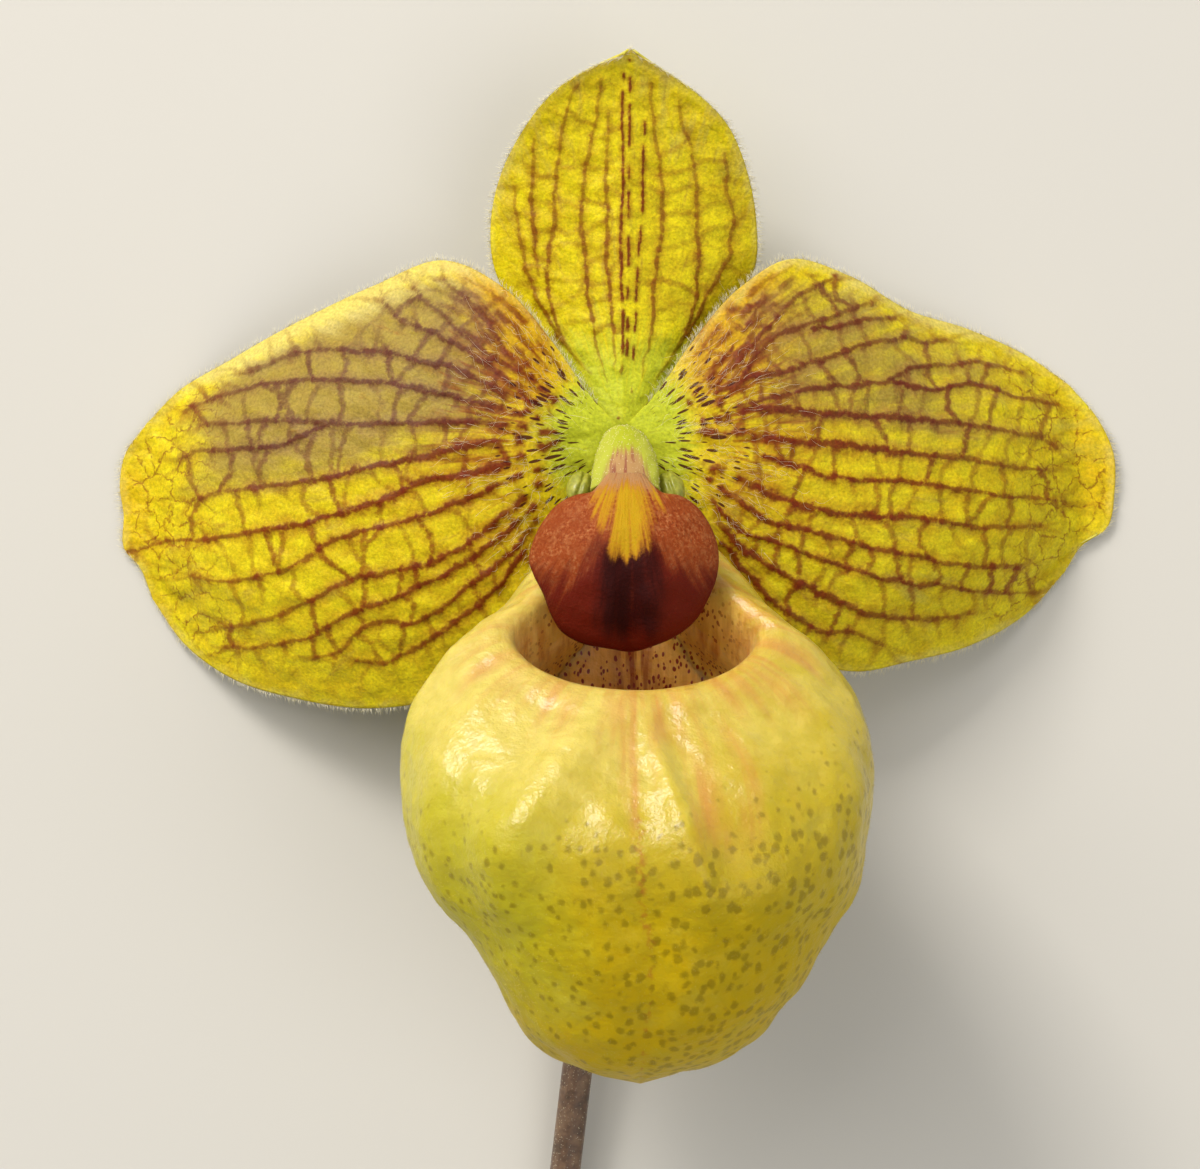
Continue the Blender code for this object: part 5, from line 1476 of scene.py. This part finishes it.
def grow_base_hairs(name, seed, length, radius, material):
    """Long wavy hairs over a petal's inner part, lying along it and thinning outwards."""
    rng = np.random.default_rng(seed)
    root, normal = scattered(SKINS[name][12:110], 1500, rng, False)
    reach = np.hypot(root[:, 0], root[:, 1])
    keep = (reach > 5.5) & (reach < 21) & (rng.random(len(reach)) < ease(reach, 22, 9))
    root, normal = root[keep][:420], normal[keep][:420]
    along = unit(np.column_stack([root[:, :2] * rng.choice([-1, 1], (len(root), 1)), 0 * root[:, 0]]))
    hair_coat(name + "_base_hairs", root, normal * 0.55 + along * 0.9, np.full(len(root), length), radius,
              material, "petal", 0.35, 5, 91)


class ORCHID_OT_hairs(bpy.types.Operator):
    """Grow the margins' fringes, the wavy base hairs and the down on stem and pouch"""
    bl_idname = "orchid.hairs"
    bl_label = "Hairs"

    def execute(self, context):
        look = context.scene.orchid_hairs
        clear = hair_material("clear_hairs", "#e6d8a2", look.colour)
        golden = hair_material("golden_down", "#b8a020", "#cdbb4e")
        radius = look.radius / MM
        for name, slot, first, per_mm in FRINGES:
            grow_fringe(name, slot, first, per_mm, look.fringe / MM, radius * 0.8, clear)
        for name, seed in (("petal_left", 89), ("petal_right", 91)):
            grow_base_hairs(name, seed, look.base / MM, radius * 0.5, clear)
        rng = np.random.default_rng(95)
        root, normal = scattered(SKINS["pouch"][66:], 9000, rng, True)
        hair_coat("pouch_down", root, normal, np.full(len(root), look.down / MM), radius * 0.5, golden,
                  "pouch", 0.1, 1, 96)
        for name, count in (("stem", 5200), ("ovary", 1500), ("column", 900)):
            root, inward = scattered(SKINS[name], count, rng, True)
            keep = root[:, 2] - inward[:, 2] * 0.6 > -CENTRE[2] + 0.05
            hair_coat(name + "_down", root[keep], -inward[keep], np.full(keep.sum(), look.stem / MM),
                      radius * 0.65, clear, name, 0.3, 2, 97)
        return {"FINISHED"}


class ORCHID_OT_stage(bpy.types.Operator):
    """Set the pale table, the soft light and the camera"""
    bl_idname = "orchid.stage"
    bl_label = "Stage"

    def execute(self, context):
        look = context.scene.orchid_stage
        # A matte painted board: even, very pale and without grain that would draw the eye
        material, tree, shader, place = start_material("matte_board", {"IOR": 1.45, "Roughness": 0.85})
        tone = add(tree, "TexNoise", {"Vector": place, "Scale": 6.0, "Detail": 2.0})
        colour = add(tree, "Mix", {"Factor": tone.outputs[0], "A": look.floor, "B": "#cac7c0"})
        feed(tree, shader.inputs, {"Base Color": colour})
        mesh = bpy.data.meshes.new("table_top")
        half = TABLE_HALF_SIZE
        corners = [(-half, -half, 0), (half, -half, 0), (half, half, 0), (-half, half, 0)]
        mesh.from_pydata(corners, [], [(0, 1, 2, 3)])
        mesh.materials.append(material)
        table = bpy.data.objects.new("table_top", mesh)
        context.scene.collection.objects.link(table)

        world = bpy.data.worlds.new("soft_studio")
        world.use_nodes = True
        background = world.node_tree.nodes["Background"]
        background.inputs["Color"].default_value = (*look.world, 1.0)
        background.inputs["Strength"].default_value = look.around
        context.scene.world = world
        context.scene.view_settings.view_transform = "Standard"
        for name, (place, size, power, tint) in LIGHTS.items():
            light = bpy.data.lights.new(name, "AREA")
            light.size = size
            light.energy = getattr(look, power)
            light.color = linear(tint)
            obj = bpy.data.objects.new(name, light)
            obj.location = place
            aim = Vector(LIGHT_AIM) - obj.location
            obj.rotation_euler = aim.to_track_quat("-Z", "Y").to_euler()
            context.scene.collection.objects.link(obj)

        camera = bpy.data.cameras.new("camera")
        camera.sensor_fit = "HORIZONTAL"
        camera.sensor_width = SENSOR_MM
        camera.lens = SENSOR_MM * CAMERA_DISTANCE / PHOTO_WIDTH_MM
        camera.clip_start = 0.01
        eye = bpy.data.objects.new("camera", camera)
        eye.location = to_world((*CAMERA_AXIS, CAMERA_DISTANCE))
        context.scene.collection.objects.link(eye)
        context.scene.camera = eye
        return {"FINISHED"}


class ORCHID_PT_panel(bpy.types.Panel):
    bl_idname = "ORCHID_PT_panel"
    bl_label = "Orchid bloom"
    bl_space_type = "VIEW_3D"
    bl_region_type = "UI"
    bl_category = "Orchid"

    def draw(self, context):
        for operator in OPERATORS:
            self.layout.operator(operator.bl_idname)
        for key in GROUPS:
            box = self.layout.box()
            settings = getattr(context.scene, key)
            for name in settings.bl_rna.properties.keys():
                if name not in ("rna_type", "name"):
                    box.prop(settings, name)


GROUPS = {"orchid_blades": ORCHID_PG_blades, "orchid_pouch": ORCHID_PG_pouch,
          "orchid_shield": ORCHID_PG_shield, "orchid_hairs": ORCHID_PG_hairs,
          "orchid_stage": ORCHID_PG_stage}
OPERATORS = (ORCHID_OT_petals, ORCHID_OT_sepals, ORCHID_OT_pouch, ORCHID_OT_shield, ORCHID_OT_column,
             ORCHID_OT_stalk, ORCHID_OT_hairs, ORCHID_OT_stage)


def register():
    for kind in (*GROUPS.values(), *OPERATORS, ORCHID_PT_panel):
        bpy.utils.register_class(kind)
    for key, kind in GROUPS.items():
        setattr(bpy.types.Scene, key, PointerProperty(type=kind))


def unregister():
    for key in GROUPS:
        delattr(bpy.types.Scene, key)
    for kind in reversed((*GROUPS.values(), *OPERATORS, ORCHID_PT_panel)):
        bpy.utils.unregister_class(kind)


def main():
    register()
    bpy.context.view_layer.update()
    bpy.ops.orchid.petals()
    bpy.ops.orchid.sepals()
    bpy.ops.orchid.pouch()
    bpy.ops.orchid.shield()
    bpy.ops.orchid.column()
    bpy.ops.orchid.stalk()
    bpy.ops.orchid.hairs()
    bpy.ops.orchid.stage()
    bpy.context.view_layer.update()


if __name__ == "__main__":
    main()
